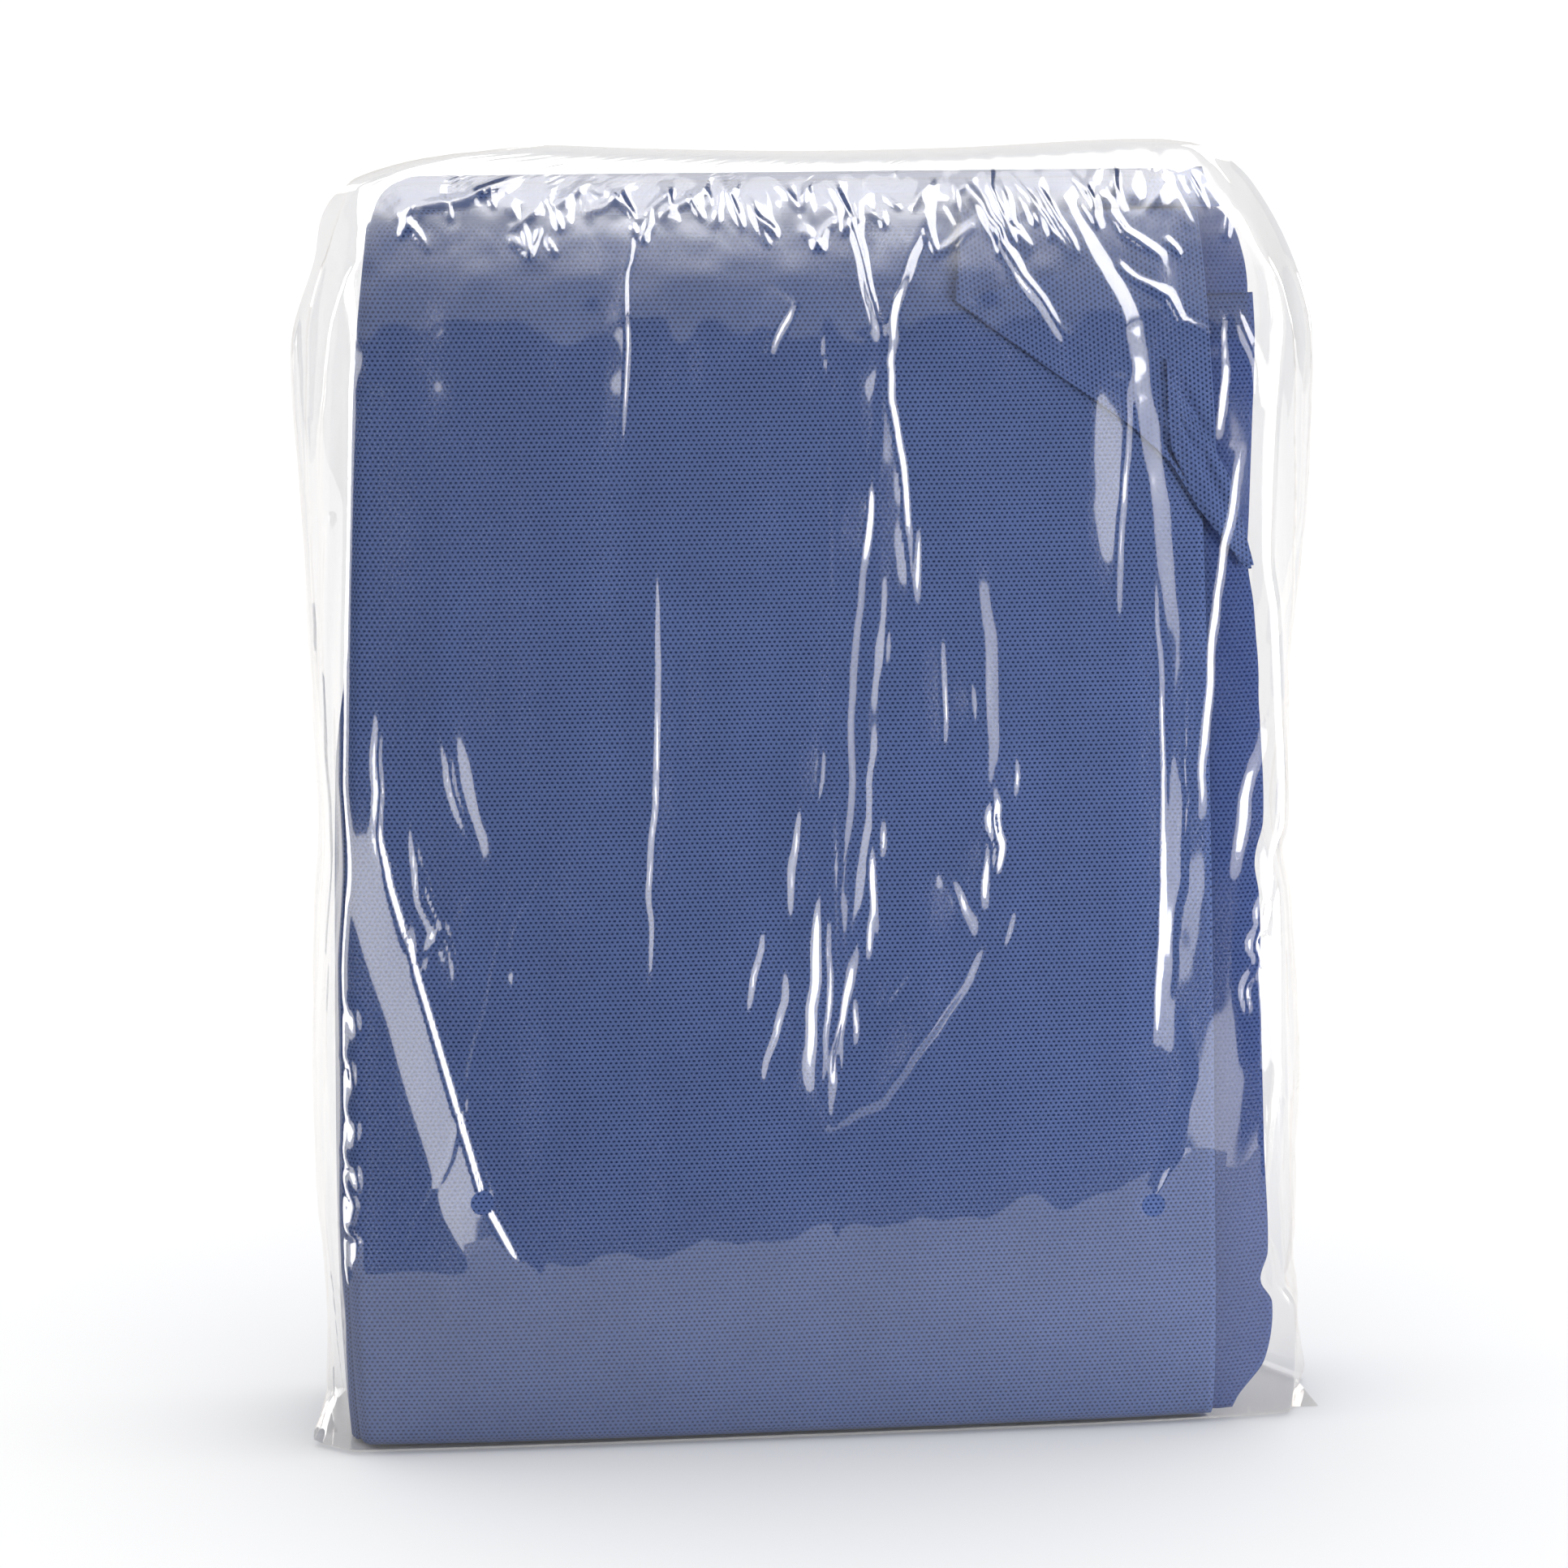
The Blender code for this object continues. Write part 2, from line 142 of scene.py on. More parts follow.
SIDES_GREY, SIDES_FROM, SIDES_TO = 0.22, -0.3, 0.2
WALL_WHITE, WALL_FROM, WALL_TO = 0.45, 0.7, 0.93
DAYLIGHT, DAYLIGHT_LEAN = 1.18, 0.12

world = bpy.data.worlds.new("studio")
bpy.context.scene.world = world
world.use_nodes = True
sky = world.node_tree
sky.nodes.clear()
direction = node(sky, "ShaderNodeTexCoord").outputs["Generated"]
across, along, height = node(sky, "ShaderNodeSeparateXYZ", Vector=direction).outputs
toward_camera = maths(sky, "MULTIPLY", along, -1.0)
azimuth = maths(sky, "DEGREES", maths(sky, "ARCTAN2", across, toward_camera))
elevation = maths(sky, "DEGREES", maths(sky, "ARCSINE", height))
glow = ROOM_DARK
for az_low, az_high, el_low, el_high, soft, bright in SOFT_BOXES.values():
    box_of_light = maths(
        sky,
        "MULTIPLY",
        window(sky, azimuth, az_low, az_high, soft),
        window(sky, elevation, el_low, el_high, soft),
    )
    glow = maths(sky, "MULTIPLY_ADD", box_of_light, bright, glow)
glow = maths(sky, "MULTIPLY_ADD", ramp_up(sky, along, SIDES_FROM, SIDES_TO), SIDES_GREY, glow)
glow = maths(sky, "MULTIPLY_ADD", ramp_up(sky, along, WALL_FROM, WALL_TO), WALL_WHITE, glow)
daylight = maths(sky, "MULTIPLY_ADD", along, DAYLIGHT * DAYLIGHT_LEAN, DAYLIGHT)
rays = node(sky, "ShaderNodeLightPath").outputs
first_mirror = maths(sky, "LESS_THAN", rays["Diffuse Depth"], 0.5)
mirrored = maths(sky, "MULTIPLY", rays["Is Glossy Ray"], first_mirror)
seen = rays["Is Camera Ray"]
plain = node(sky, "ShaderNodeMix", {"data_type": "FLOAT"}, Factor=seen, i2=daylight, i3=1.0)
room = node(sky, "ShaderNodeBackground", Color=LAMP_WHITE, Strength=plain.outputs[0])
boxes = node(sky, "ShaderNodeBackground", Color=LAMP_WHITE, Strength=glow)
either = node(sky, "ShaderNodeMixShader", i0=mirrored, i1=room.outputs[0], i2=boxes.outputs[0])
node(sky, "ShaderNodeOutputWorld", Surface=either.outputs[0])

pack = bpy.data.collections.new("pack")


def lamp(name, place, aim, size, watts):
    """A lamp whose light flags keep off the table, so that it falls on the pack alone."""
    data = bpy.data.lights.new(name, "AREA")
    data.shape = "RECTANGLE"
    data.size, data.size_y = size
    data.energy = watts
    made = bpy.data.objects.new(name, data)
    made.location = place
    made.rotation_mode = "QUATERNION"
    made.rotation_quaternion = (Vector(aim) - Vector(place)).to_track_quat("-Z", "Y")
    made.visible_glossy = False
    made.visible_camera = False
    made.light_linking.receiver_collection = pack
    bpy.context.scene.collection.objects.link(made)


lamp("lamp right", (0.80, -0.66, 0.13), aim=(0.05, 0.0, 0.2), size=(0.3, 0.22), watts=10.5)
lamp("lamp right behind", (0.9, 0.8, 0.4), aim=(0.14, 0.0, 0.2), size=(0.5, 0.7), watts=12.0)

table_white = bpy.data.materials.new("white table")
table_white.use_nodes = True
table_top = table_white.node_tree.nodes["Principled BSDF"]
table_top.inputs["Base Color"].default_value = TABLE_WHITE
table_top.inputs["Roughness"].default_value = 0.9
table_top.inputs["Specular IOR Level"].default_value = 0.0


def table_piece(name, far, mirrored_in_film):
    """The table's flat top from its front edge to a line at y = far."""
    mesh = bpy.data.meshes.new(name)
    near = [(x, y, 0.0) for x, y in TABLE_FRONT_EDGE]
    outer = [(x, far, 0.0) for x, y in reversed(TABLE_FRONT_EDGE)]
    rim = near + outer if far > 0 else (near + outer)[::-1]
    mesh.from_pydata(rim, [], [tuple(range(len(rim)))])
    mesh.materials.append(table_white)
    made = bpy.data.objects.new(name, mesh)
    made.visible_glossy = mirrored_in_film
    bpy.context.scene.collection.objects.link(made)


table_piece("table_near", TABLE_REACH, True)
table_piece("table_front", -TABLE_REACH, False)

# The form that all pieces of the folded gown share: the pack bulges low down at the front, leans
# back above, and falls away a little at its side edges. Heights and depths are in millimetres.
EDGE_FALL, WIDEST_SHARE = 4.5, 1.05
FACE_MIDDLE, FACE_HALF_WIDTH = -6.0, 148.0
FRONT_FACE = {
    "height": (0, 8.1, 20.3, 45.5, 91.5, 142, 192.5, 243.5, 289, 324.5, 350, 370, 388.5, 402.5),
    "depth": (-41, -44.5, -47.5, -50, -51, -50.5, -47.5, -42.5, -35.5, -27, -18.5, -9, 3, 14),
}
BACK_FACE = {
    "height": (0, 8.1, 25.4, 81, 162, 263.5, 324.5, 365, 390.5, 402.5),
    "depth": (37, 41, 45, 48, 50, 50, 49, 46, 41, 36),
}
LEFT_FOLD = {
    "height": (0, 20.3, 50.5, 101.5, 208, 304, 350, 388.5),
    "x": (-150.5, -152.5, -154, -154.5, -153.2, -149.5, -146.5, -141),
}


def read(table, column, at):
    """A column of a table at any values of its first column, through a smooth curve."""
    stations = np.array(next(iter(table.values())), float)
    values = np.array(table[column], float)
    at = np.clip(np.asarray(at, float), stations[0], stations[-1])
    last = len(stations) - 1
    slopes = np.empty(last + 1)
    slopes[1:last] = (values[2:] - values[:-2]) / (stations[2:] - stations[:-2])
    slopes[0] = (values[1] - values[0]) / (stations[1] - stations[0])
    slopes[last] = (values[last] - values[last - 1]) / (stations[last] - stations[last - 1])
    row = np.clip(np.searchsorted(stations, at, side="right") - 1, 0, last - 1)
    span = stations[row + 1] - stations[row]
    t = (at - stations[row]) / span
    rise = values[row + 1] - values[row]
    start, end = slopes[row] * span, slopes[row + 1] * span
    square, cube = 3 * rise - 2 * start - end, start + end - 2 * rise
    return values[row] + start * t + square * t**2 + cube * t**3


def fall_at_edge(x):
    """How far a face falls back from its middle towards its left and right edges."""
    share = np.abs((x - FACE_MIDDLE) / FACE_HALF_WIDTH)
    return EDGE_FALL * np.minimum(share, WIDEST_SHARE) ** 4


def depth_of_face(side, x, z):
    if side == "front":
        return read(FRONT_FACE, "depth", z) + fall_at_edge(x)
    return read(BACK_FACE, "depth", z) - fall_at_edge(x)


def on_face(side, x, z, lift):
    """Points on a face of the pack, moved out along the face's own normal, as an array (..., 3)."""
    outwards = -1.0 if side == "front" else 1.0
    rise = (depth_of_face(side, x, z + 1.0) - depth_of_face(side, x, z - 1.0)) / 2.0
    run = (depth_of_face(side, x + 1.0, z) - depth_of_face(side, x - 1.0, z)) / 2.0
    normal = np.stack([-run, np.ones_like(run), -rise], axis=-1)
    normal *= outwards / np.linalg.norm(normal, axis=-1, keepdims=True)
    place = np.stack([x, depth_of_face(side, x, z), z], axis=-1)
    return place + normal * np.asarray(lift)[..., None]


def smooth_step(value, start, end):
    t = np.clip((value - start) / (end - start), 0.0, 1.0)
    return t * t * (3.0 - 2.0 * t)


def away_from(x, z, route):
    """How far points lie from a route of (x, z) points, and where along it, from 0 to 1. The
    distance is negative at the route's left as it runs down."""
    best = np.full(np.shape(x), 1e9)
    side, share = np.ones(np.shape(x)), np.zeros(np.shape(x))
    lengths = [math.dist(a, b) for a, b in zip(route, route[1:])]
    done = 0.0
    for (ax, az), (bx, bz), length in zip(route, route[1:], lengths):
        t = np.clip(((x - ax) * (bx - ax) + (z - az) * (bz - az)) / length**2, 0.0, 1.0)
        gap = np.hypot(x - ax - t * (bx - ax), z - az - t * (bz - az))
        nearer = gap < best
        turned = (bx - ax) * (z - az) - (bz - az) * (x - ax)
        side = np.where(nearer, np.sign(turned), side)
        share = np.where(nearer, (done + t * length) / sum(lengths), share)
        best = np.minimum(best, gap)
        done += length
    return best * side, share


def creased(x, z, creases):
    """The height of all soft ridges and troughs at points of a cloth: each is (height, half width,
    route), in millimetres, and fades out towards both ends of its route."""
    total = np.zeros(np.shape(x))
    for high, wide, route in creases:
        gap, share = away_from(x, z, route)
        fade = np.sin(np.pi * np.clip(share, 0.0, 1.0)) ** 0.6
        total += high * fade * np.exp(-((gap / wide) ** 2))
    return total


# The gown's cloth: three bonded layers of fine polypropylene fibre, dyed blue. The bonding roll
# leaves rows of small oval dents that are darker than the loft between them. Their pitch, width
# and stray, and the wall, are in millimetres; a dent is full and ends at shares of its own width.
DOT_PITCH, DOT_ROW = 1.65, 1.33
DOT_WIDE, DOT_HIGH = 0.50, 0.42
DOT_STRAY = 0.45
DOT_FULL, DOT_END = 0.45, 1.25
DOT_DARK = 0.95
DENT_BLUE = (0.008, 0.014, 0.045, 1.0)
LOFT_BLUE = (0.080, 0.121, 0.280)
FIBRE_TONE, CLOUD_TONE = 0.25, 0.22
WALL, SLEEVE_WALL = 0.6, 0.8


def uneven_tone(tree, place, scale, detail, roughness=0.5):
    """A random tone from 0 to 1 over a cloth."""
    return node(
        tree,
        "ShaderNodeTexNoise",
        {"noise_dimensions": "2D"},
        Vector=place,
        Scale=scale,
        Detail=detail,
        Roughness=roughness,
    ).outputs["Fac"]


def about_middle(tree, tone):
    return maths(tree, "SUBTRACT", tone, 0.5)


def bonded_cloth(name, colour, thread_turn=0.0, back_light=0.12):
    """The blue cloth. Its dots follow the piece's own UV map, which is in millimetres."""
    made = bpy.data.materials.new(name)
    made.use_nodes = True
    tree = made.node_tree
    tree.nodes.clear()
    place = node(tree, "ShaderNodeUVMap", {"uv_map": "cut"}).outputs[0]
    if thread_turn:
        turn = (0.0, 0.0, math.radians(thread_turn))
        place = node(tree, "ShaderNodeMapping", Vector=place, Rotation=turn).outputs[0]
    u, v, _ = node(tree, "ShaderNodeSeparateXYZ", Vector=place).outputs
    rows_up = maths(tree, "DIVIDE", v, DOT_ROW)
    shift = maths(tree, "MULTIPLY", maths(tree, "FLOOR", rows_up), 0.5 * DOT_PITCH)
    stray = uneven_tone(tree, place, scale=0.9, detail=1.0)
    stray = maths(tree, "MULTIPLY", about_middle(tree, stray), DOT_STRAY)
    along_row = maths(tree, "ADD", maths(tree, "ADD", u, shift), stray)
    from_left = maths(tree, "PINGPONG", along_row, DOT_PITCH / 2)
    from_row = maths(tree, "MULTIPLY", about_middle(tree, maths(tree, "FRACT", rows_up)), DOT_ROW)
    a = maths(tree, "POWER", maths(tree, "DIVIDE", from_left, DOT_WIDE), 2.0)
    b = maths(tree, "POWER", maths(tree, "DIVIDE", from_row, DOT_HIGH), 2.0)
    far = maths(tree, "SQRT", maths(tree, "ADD", a, b))
    dot = maths(tree, "SUBTRACT", 1.0, ramp_up(tree, far, DOT_FULL, DOT_END))
    fibres = uneven_tone(tree, place, scale=1.9, detail=4.0, roughness=0.7)
    clouds = uneven_tone(tree, place, scale=0.035, detail=3.0, roughness=0.6)
    light = maths(tree, "MULTIPLY_ADD", about_middle(tree, fibres), FIBRE_TONE, 1.0)
    light = maths(tree, "MULTIPLY_ADD", about_middle(tree, clouds), CLOUD_TONE, light)
    lit = node(tree, "ShaderNodeVectorMath", {"operation": "SCALE"}, i0=colour, Scale=light)
    dark = maths(tree, "MULTIPLY", dot, DOT_DARK)
    colours = {"i6": lit.outputs[0], "i7": DENT_BLUE}
    shade = node(tree, "ShaderNodeMix", {"data_type": "RGBA"}, Factor=dark, **colours).outputs[2]
    relief = maths(tree, "SUBTRACT", maths(tree, "MULTIPLY", fibres, 0.5), dot)
    bump = node(tree, "ShaderNodeBump", Strength=0.35, Distance=0.00012, Height=relief).outputs[0]
    face = node(
        tree,
        "ShaderNodeBsdfPrincipled",
        Base_Color=shade,
        Roughness=0.62,
        Sheen_Weight=0.12,
        Sheen_Roughness=0.5,
        Normal=bump,
    )
    face.inputs["Specular IOR Level"].default_value = 0.0
    face.inputs["Sheen Tint"].default_value = (0.62, 0.74, 1.0, 1.0)
    through = node(tree, "ShaderNodeBsdfTranslucent", Color=(0.10, 0.20, 0.52, 1.0), Normal=bump)
    mixed = node(tree, "ShaderNodeMixShader", i0=back_light, i1=face.outputs[0], i2=through.outputs[0])
    node(tree, "ShaderNodeOutputMaterial", Surface=mixed.outputs[0])
    return made


gown_blue = bonded_cloth("gown blue", LOFT_BLUE)
edge_blue = bonded_cloth("gown blue, edge", LOFT_BLUE, back_light=0.42)
turned_blue = bonded_cloth("gown blue, turned", (0.081, 0.122, 0.282), thread_turn=90.0)


def piece_from_grid(name, grid, cut, material, flip=False):
    """A mesh through a grid of points in millimetres, with the UV map "cut" from a like grid."""
    rows, columns = grid.shape[:2]
    corner = np.arange(rows * columns).reshape(rows, columns)
    quads = np.stack([corner[:-1, :-1], corner[:-1, 1:], corner[1:, 1:], corner[1:, :-1]], axis=-1)
    quads = quads.reshape(-1, 4)
    if flip:
        quads = quads[:, ::-1]
    mesh = bpy.data.meshes.new(name)
    mesh.from_pydata((grid.reshape(-1, 3) * MM).tolist(), [], quads.tolist())
    layer = mesh.uv_layers.new(name="cut")
    layer.data.foreach_set("uv", cut.reshape(-1, 2)[quads.reshape(-1)].astype(np.float32).ravel())
    mesh.materials.append(material)
    mesh.shade_smooth()
    made = bpy.data.objects.new(name, mesh)
    bpy.context.scene.collection.objects.link(made)
    return made


def as_cloth(piece, stands_for, wall=WALL):
    """Gives an open sheet of the gown its wall, inwards, in the place of the solid it stands for."""
    thick = piece.modifiers.new("wall", "SOLIDIFY")
    thick.thickness = wall * MM
    thick.offset = -1.0
    graph = bpy.context.evaluated_depsgraph_get()
    solid = bpy.data.meshes.new_from_object(piece.evaluated_get(graph))
    piece.modifiers.clear()
    piece.data = solid
    piece.data.name = piece.name
    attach(piece, "root")
    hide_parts(stands_for)


# The front panel: the gown's body side that was folded last. It lies over the whole face, turns
# back round the fold at the left, and a little at its top and its bottom.
FOLD_RADIUS, TURN_BACK = 3.4, 7.0
PANEL_LIFT = 0.35
PANEL_LOW, PANEL_TOP, ABOUT_WIDE = 1.3, 388.0, 270.0
FRONT_EDGE = {"height": (0, 121.5, 294, 388.5), "x": (125.5, 122.6, 120.3, 120.0)}
FRONT_CREASES = (
    (0.55, 5.0, ((-118, 330), (-124, 240), (-116, 120))),
    (-0.5, 6.0, ((-92, 300), (-96, 190), (-88, 60))),
    (0.6, 7.0, ((-52, 345), (-58, 240), (-50, 100))),
    (-0.55, 8.0, ((-14, 320), (-22, 200), (-12, 70))),
    (0.5, 6.0, ((28, 300), (22, 200), (34, 90))),
    (-0.6, 9.0, ((62, 340), (70, 230), (60, 110))),
    (0.55, 6.0, ((96, 300), (92, 180), (98, 60))),
    (-0.4, 5.0, ((-60, 50), (10, 38), (90, 46))),
    (0.45, 7.0, ((-130, 370), (-60, 366), (30, 370))),
    (0.35, 4.0, ((-100, 384), (-40, 380), (50, 383))),
)


def round_fold():
    """(out, back) of cloth that turns a quarter round a fold and then runs straight back."""
    turn = np.linspace(0.0, math.pi / 2, 7)
    out = [FOLD_RADIUS * math.sin(angle) for angle in turn]
    back = [FOLD_RADIUS * (1.0 - math.cos(angle)) for angle in turn]
    for share in (0.5, 1.0):
        out.append(FOLD_RADIUS)
        back.append(FOLD_RADIUS + (TURN_BACK - FOLD_RADIUS) * share)
    return np.array(out), np.array(back)


def folded_panel(name, side, right_edge, left_inset, top, creases, step):
    """An outer panel of the pack as a fine sheet, with a round corner where two folds meet."""
    out, back = round_fold()
    turns = len(out) - 1
    inwards = 1.0 if side == "front" else -1.0
    base_z = np.linspace(
        PANEL_LOW + FOLD_RADIUS, top - FOLD_RADIUS, int((top - PANEL_LOW) / step)
    )
    hem = np.concatenate([np.arange(turns, 0, -1), np.zeros(len(base_z), int), np.arange(1, turns + 1)])
    heights = np.concatenate([np.full(turns, base_z[0]), base_z, np.full(turns, base_z[-1])])
    up = np.concatenate([-np.ones(turns), np.zeros(len(base_z)), np.ones(turns)])
    across = int(ABOUT_WIDE / step)
    spine = np.concatenate([np.zeros(across, int), np.arange(1, turns + 1)])
    share = np.concatenate([np.linspace(0.0, 1.0, across), np.ones(turns)])
    left = read(LEFT_FOLD, "x", heights) + left_inset + FOLD_RADIUS
    right = read(right_edge, "x", heights)
    x0 = right[:, None] + (left - right)[:, None] * share[None, :]
    hem_grid, spine_grid = np.broadcast_arrays(hem[:, None], spine[None, :])
    turned = np.maximum(hem_grid, spine_grid)
    most = np.maximum(turned, 1)
    near_hem, near_spine = 45.0 * spine_grid / most, 90.0 - 45.0 * hem_grid / most
    turn = np.radians(np.where(spine_grid >= hem_grid, near_spine, near_hem) * (spine_grid > 0))
    z = heights[:, None] + up[:, None] * out[turned] * np.cos(turn)
    x = x0 - out[turned] * np.sin(turn) * (spine_grid > 0)
    place = on_face(side, x, z, PANEL_LIFT + creased(x, z, creases) * (turned == 0))
    place[..., 1] += inwards * back[turned]
    cut = np.stack([x, z], axis=-1)
    cut[..., 0] -= back[turned] * np.sin(turn)
    cut[..., 1] += up[:, None] * back[turned] * np.cos(turn)
    return piece_from_grid(name, place, cut, gown_blue, flip=side == "front")


front = folded_panel(
    "front_panel_cloth", "front", FRONT_EDGE, 0.0, PANEL_TOP, FRONT_CREASES, step=2.2
)
as_cloth(front, "front_panel")

# The back panel: the other end of the fold, which closes the pack at the back in the same way.
BACK_EDGE = {"height": (0, 402.5), "x": (122.0, 122.0)}
BACK_CREASES = (
    (0.7, 6.0, ((-90, 350), (-98, 220), (-86, 90))),
    (-0.6, 8.0, ((-40, 310), (-34, 190), (-46, 50))),
    (0.6, 6.0, ((12, 360), (20, 240), (10, 110))),
    (-0.5, 7.0, ((64, 300), (58, 180), (70, 60))),
    (0.6, 5.0, ((98, 340), (92, 230), (100, 120))),
)
back = folded_panel(
    "back_panel_cloth", "back", BACK_EDGE, 13.0, PANEL_TOP + 2.0, BACK_CREASES, step=3.2
)
as_cloth(back, "back_panel")

# The folded layers: everything between the two outer panels. Each leaf is a doubled length of
# cloth with its fold at the left, pressed flat against the next one, and none ends quite in line.
LEAVES, LEAF_SEED = 26, 7
LEAF_PITCH, LEAF_STRAY = 3.6, 0.005
LEAF_RIGHT, LEAF_TOP, LEAF_CORNER = 131.0, 400.0, 13.0
LEAF_MIDDLE = (-10.0, 195.0)
LEFT_BULGE, RIM_CLEAR, FACE_CLEAR = 3.6, 1.2, 2.2
HIDDEN_SHAPE = {
    "share": (0.0, 0.1, 0.22, 0.36, 0.5, 0.64, 0.78, 0.9, 1.0),
    "left_inset": (3.2, 1.4, 1.0, 1.6, 2.6, 4.4, 7.2, 11.0, 15.0),
    "right": (128, 131, 134, 135, 132, 134, 131, 131, 126),
    "top": (385.0, 394.5, 399.0, 400.5, 401.0, 401.0, 399.5, 395.0, 387.0),
}
RIGHT_EDGE_SHAPE = {"height": (0, 20.3, 61, 203, 304, 365, 402.5), "x": (-7, -1, 0, -1.5, -1, 0, -4)}


def leaf_outline():
    """One leaf's rim in its own plane, clockwise from the bottom left, as (x, z) points."""
    high = LEAF_TOP - LEAF_CORNER
    sides = np.linspace(0.0, high, 60)
    left_x = read(LEFT_FOLD, "x", sides)
    right_x = LEAF_RIGHT + read(RIGHT_EDGE_SHAPE, "x", sides)
    turn = np.radians(np.linspace(0.0, 90.0, 9)[1:-1])
    corner = [(LEAF_CORNER * (1 - math.cos(a)), high + LEAF_CORNER * math.sin(a)) for a in turn]
    top_x = np.linspace(left_x[-1] + LEAF_CORNER, right_x[-1] - LEAF_CORNER, 60)
    points = list(zip(left_x, sides))
    points += [(left_x[-1] + x, z) for x, z in corner]
    points += [(x, LEAF_TOP) for x in top_x]
    points += [(right_x[-1] - x, z) for x, z in corner[::-1]]
    points += list(zip(right_x[::-1], sides[::-1]))
    points += [(x, 0.0) for x in np.linspace(right_x[0], left_x[0], 50)[1:-1]]
    return np.array(points)


def window_of(value, low, high, soft):
    """1 between low and high, falling to 0 within soft outside them."""
    return smooth_step(value, low - soft, low) * (1.0 - smooth_step(value, high, high + soft))


def one_leaf():
    """One leaf as a closed plate with a rounded rim, at the middle of the stack."""
    rim = leaf_outline()
    middle = np.array(LEAF_MIDDLE)
    inward = middle - rim
    inward /= np.linalg.norm(inward, axis=1, keepdims=True)
    rounding = ((1.6, -0.48), (0.5, -0.30), (0.0, 0.0), (0.5, 0.30), (1.6, 0.48))
    rings = [(middle + (rim - middle) * 0.90, -0.48)]
    rings += [(rim + inward * inset, through) for inset, through in rounding]
    rings += [(middle + (rim - middle) * 0.90, 0.48)]
    vertices, cuts, faces = [], [], []
    run = np.linalg.norm(np.diff(rim, axis=0, prepend=rim[:1]), axis=1).cumsum()
    count = len(rim)
    for row, (ring, through) in enumerate(rings):
        depth = np.full(count, through * LEAF_PITCH)
        vertices.extend(np.stack([ring[:, 0], depth, ring[:, 1]], axis=1) * MM)
        on_flat = row in (0, len(rings) - 1)
        cuts.extend(ring if on_flat else np.stack([run, depth * 2.0], axis=1))
    for row in range(len(rings) - 1):
        a = row * count + np.arange(count)
        b = row * count + (np.arange(count) + 1) % count
        faces.extend(np.stack([a, b, b + count, a + count], axis=1).tolist())
    last = (len(rings) - 1) * count
    faces.append(list(range(count))[::-1])
    faces.append(list(range(last, last + count)))
    mesh = bpy.data.meshes.new("folded_layers")
    mesh.from_pydata([tuple(p) for p in vertices], [], faces)
    layer = mesh.uv_layers.new(name="cut")
    corners = np.concatenate([np.array(face) for face in faces])
    layer.data.foreach_set("uv", np.array(cuts)[corners].astype(np.float32).ravel())
    edit = bmesh.new()
    edit.from_mesh(mesh)
    bmesh.ops.recalc_face_normals(edit, faces=edit.faces)
    edit.to_mesh(mesh)
    edit.free()
    mesh.shade_smooth()
    mesh.set_sharp_from_angle(angle=math.radians(50.0))
    made = bpy.data.objects.new("folded_layers", mesh)
    bpy.context.scene.collection.objects.link(made)
    return made


def stacking_tree():
    """A tree that repeats its leaf through the stack, each one a little longer or wider."""
    tree = bpy.data.node_groups.new("stack of leaves", "GeometryNodeTree")
    tree.interface.new_socket(name="Leaf", in_out="INPUT", socket_type="NodeSocketGeometry")
    for name, kind in (("Leaves", "Int"), ("Pitch", "Float"), ("Stray", "Float"), ("Seed", "Int")):
        tree.interface.new_socket(name=name, in_out="INPUT", socket_type="NodeSocket" + kind)
    tree.interface.new_socket(name="Cloth", in_out="INPUT", socket_type="NodeSocketMaterial")
    tree.interface.new_socket(name="Stack", in_out="OUTPUT", socket_type="NodeSocketGeometry")
    given = tree.nodes.new("NodeGroupInput").outputs
    step = node(tree, "ShaderNodeCombineXYZ", Y=given["Pitch"]).outputs[0]
    line = node(tree, "GeometryNodeMeshLine", Count=given["Leaves"], Offset=step).outputs[0]
    least = maths(tree, "SUBTRACT", 1.0, given["Stray"])
    most = maths(tree, "ADD", 1.0, given["Stray"])
    low = node(tree, "ShaderNodeCombineXYZ", X=least, Y=1.0, Z=least).outputs[0]
    high = node(tree, "ShaderNodeCombineXYZ", X=most, Y=1.0, Z=most).outputs[0]
    vector = {"data_type": "FLOAT_VECTOR"}
    size = node(tree, "FunctionNodeRandomValue", vector, Min=low, Max=high, Seed=given["Seed"])
    leaves = {"Instance": given["Leaf"], "Scale": size.outputs[0]}
    stack = node(tree, "GeometryNodeInstanceOnPoints", Points=line, **leaves)
    real = node(tree, "GeometryNodeRealizeInstances", Geometry=stack.outputs[0]).outputs[0]
    dressed = node(tree, "GeometryNodeSetMaterial", Geometry=real, Material=given["Cloth"]).outputs[0]
    end = tree.nodes.new("NodeGroupOutput")
    tree.links.new(dressed, end.inputs[0])
    return tree


def stacked(leaf, values):
    """Runs the tree on the leaf and keeps the whole stack as a plain mesh."""
    tree = stacking_tree()
    maker = leaf.modifiers.new("stack", "NODES")
    maker.node_group = tree
    for socket in tree.interface.items_tree:
        if socket.in_out == "INPUT" and socket.name in values:
            maker[socket.identifier] = values[socket.name]
    graph = bpy.context.evaluated_depsgraph_get()
    mesh = bpy.data.meshes.new_from_object(leaf.evaluated_get(graph))
    leaf.modifiers.clear()
    leaf.data = mesh
    mesh.name = leaf.name


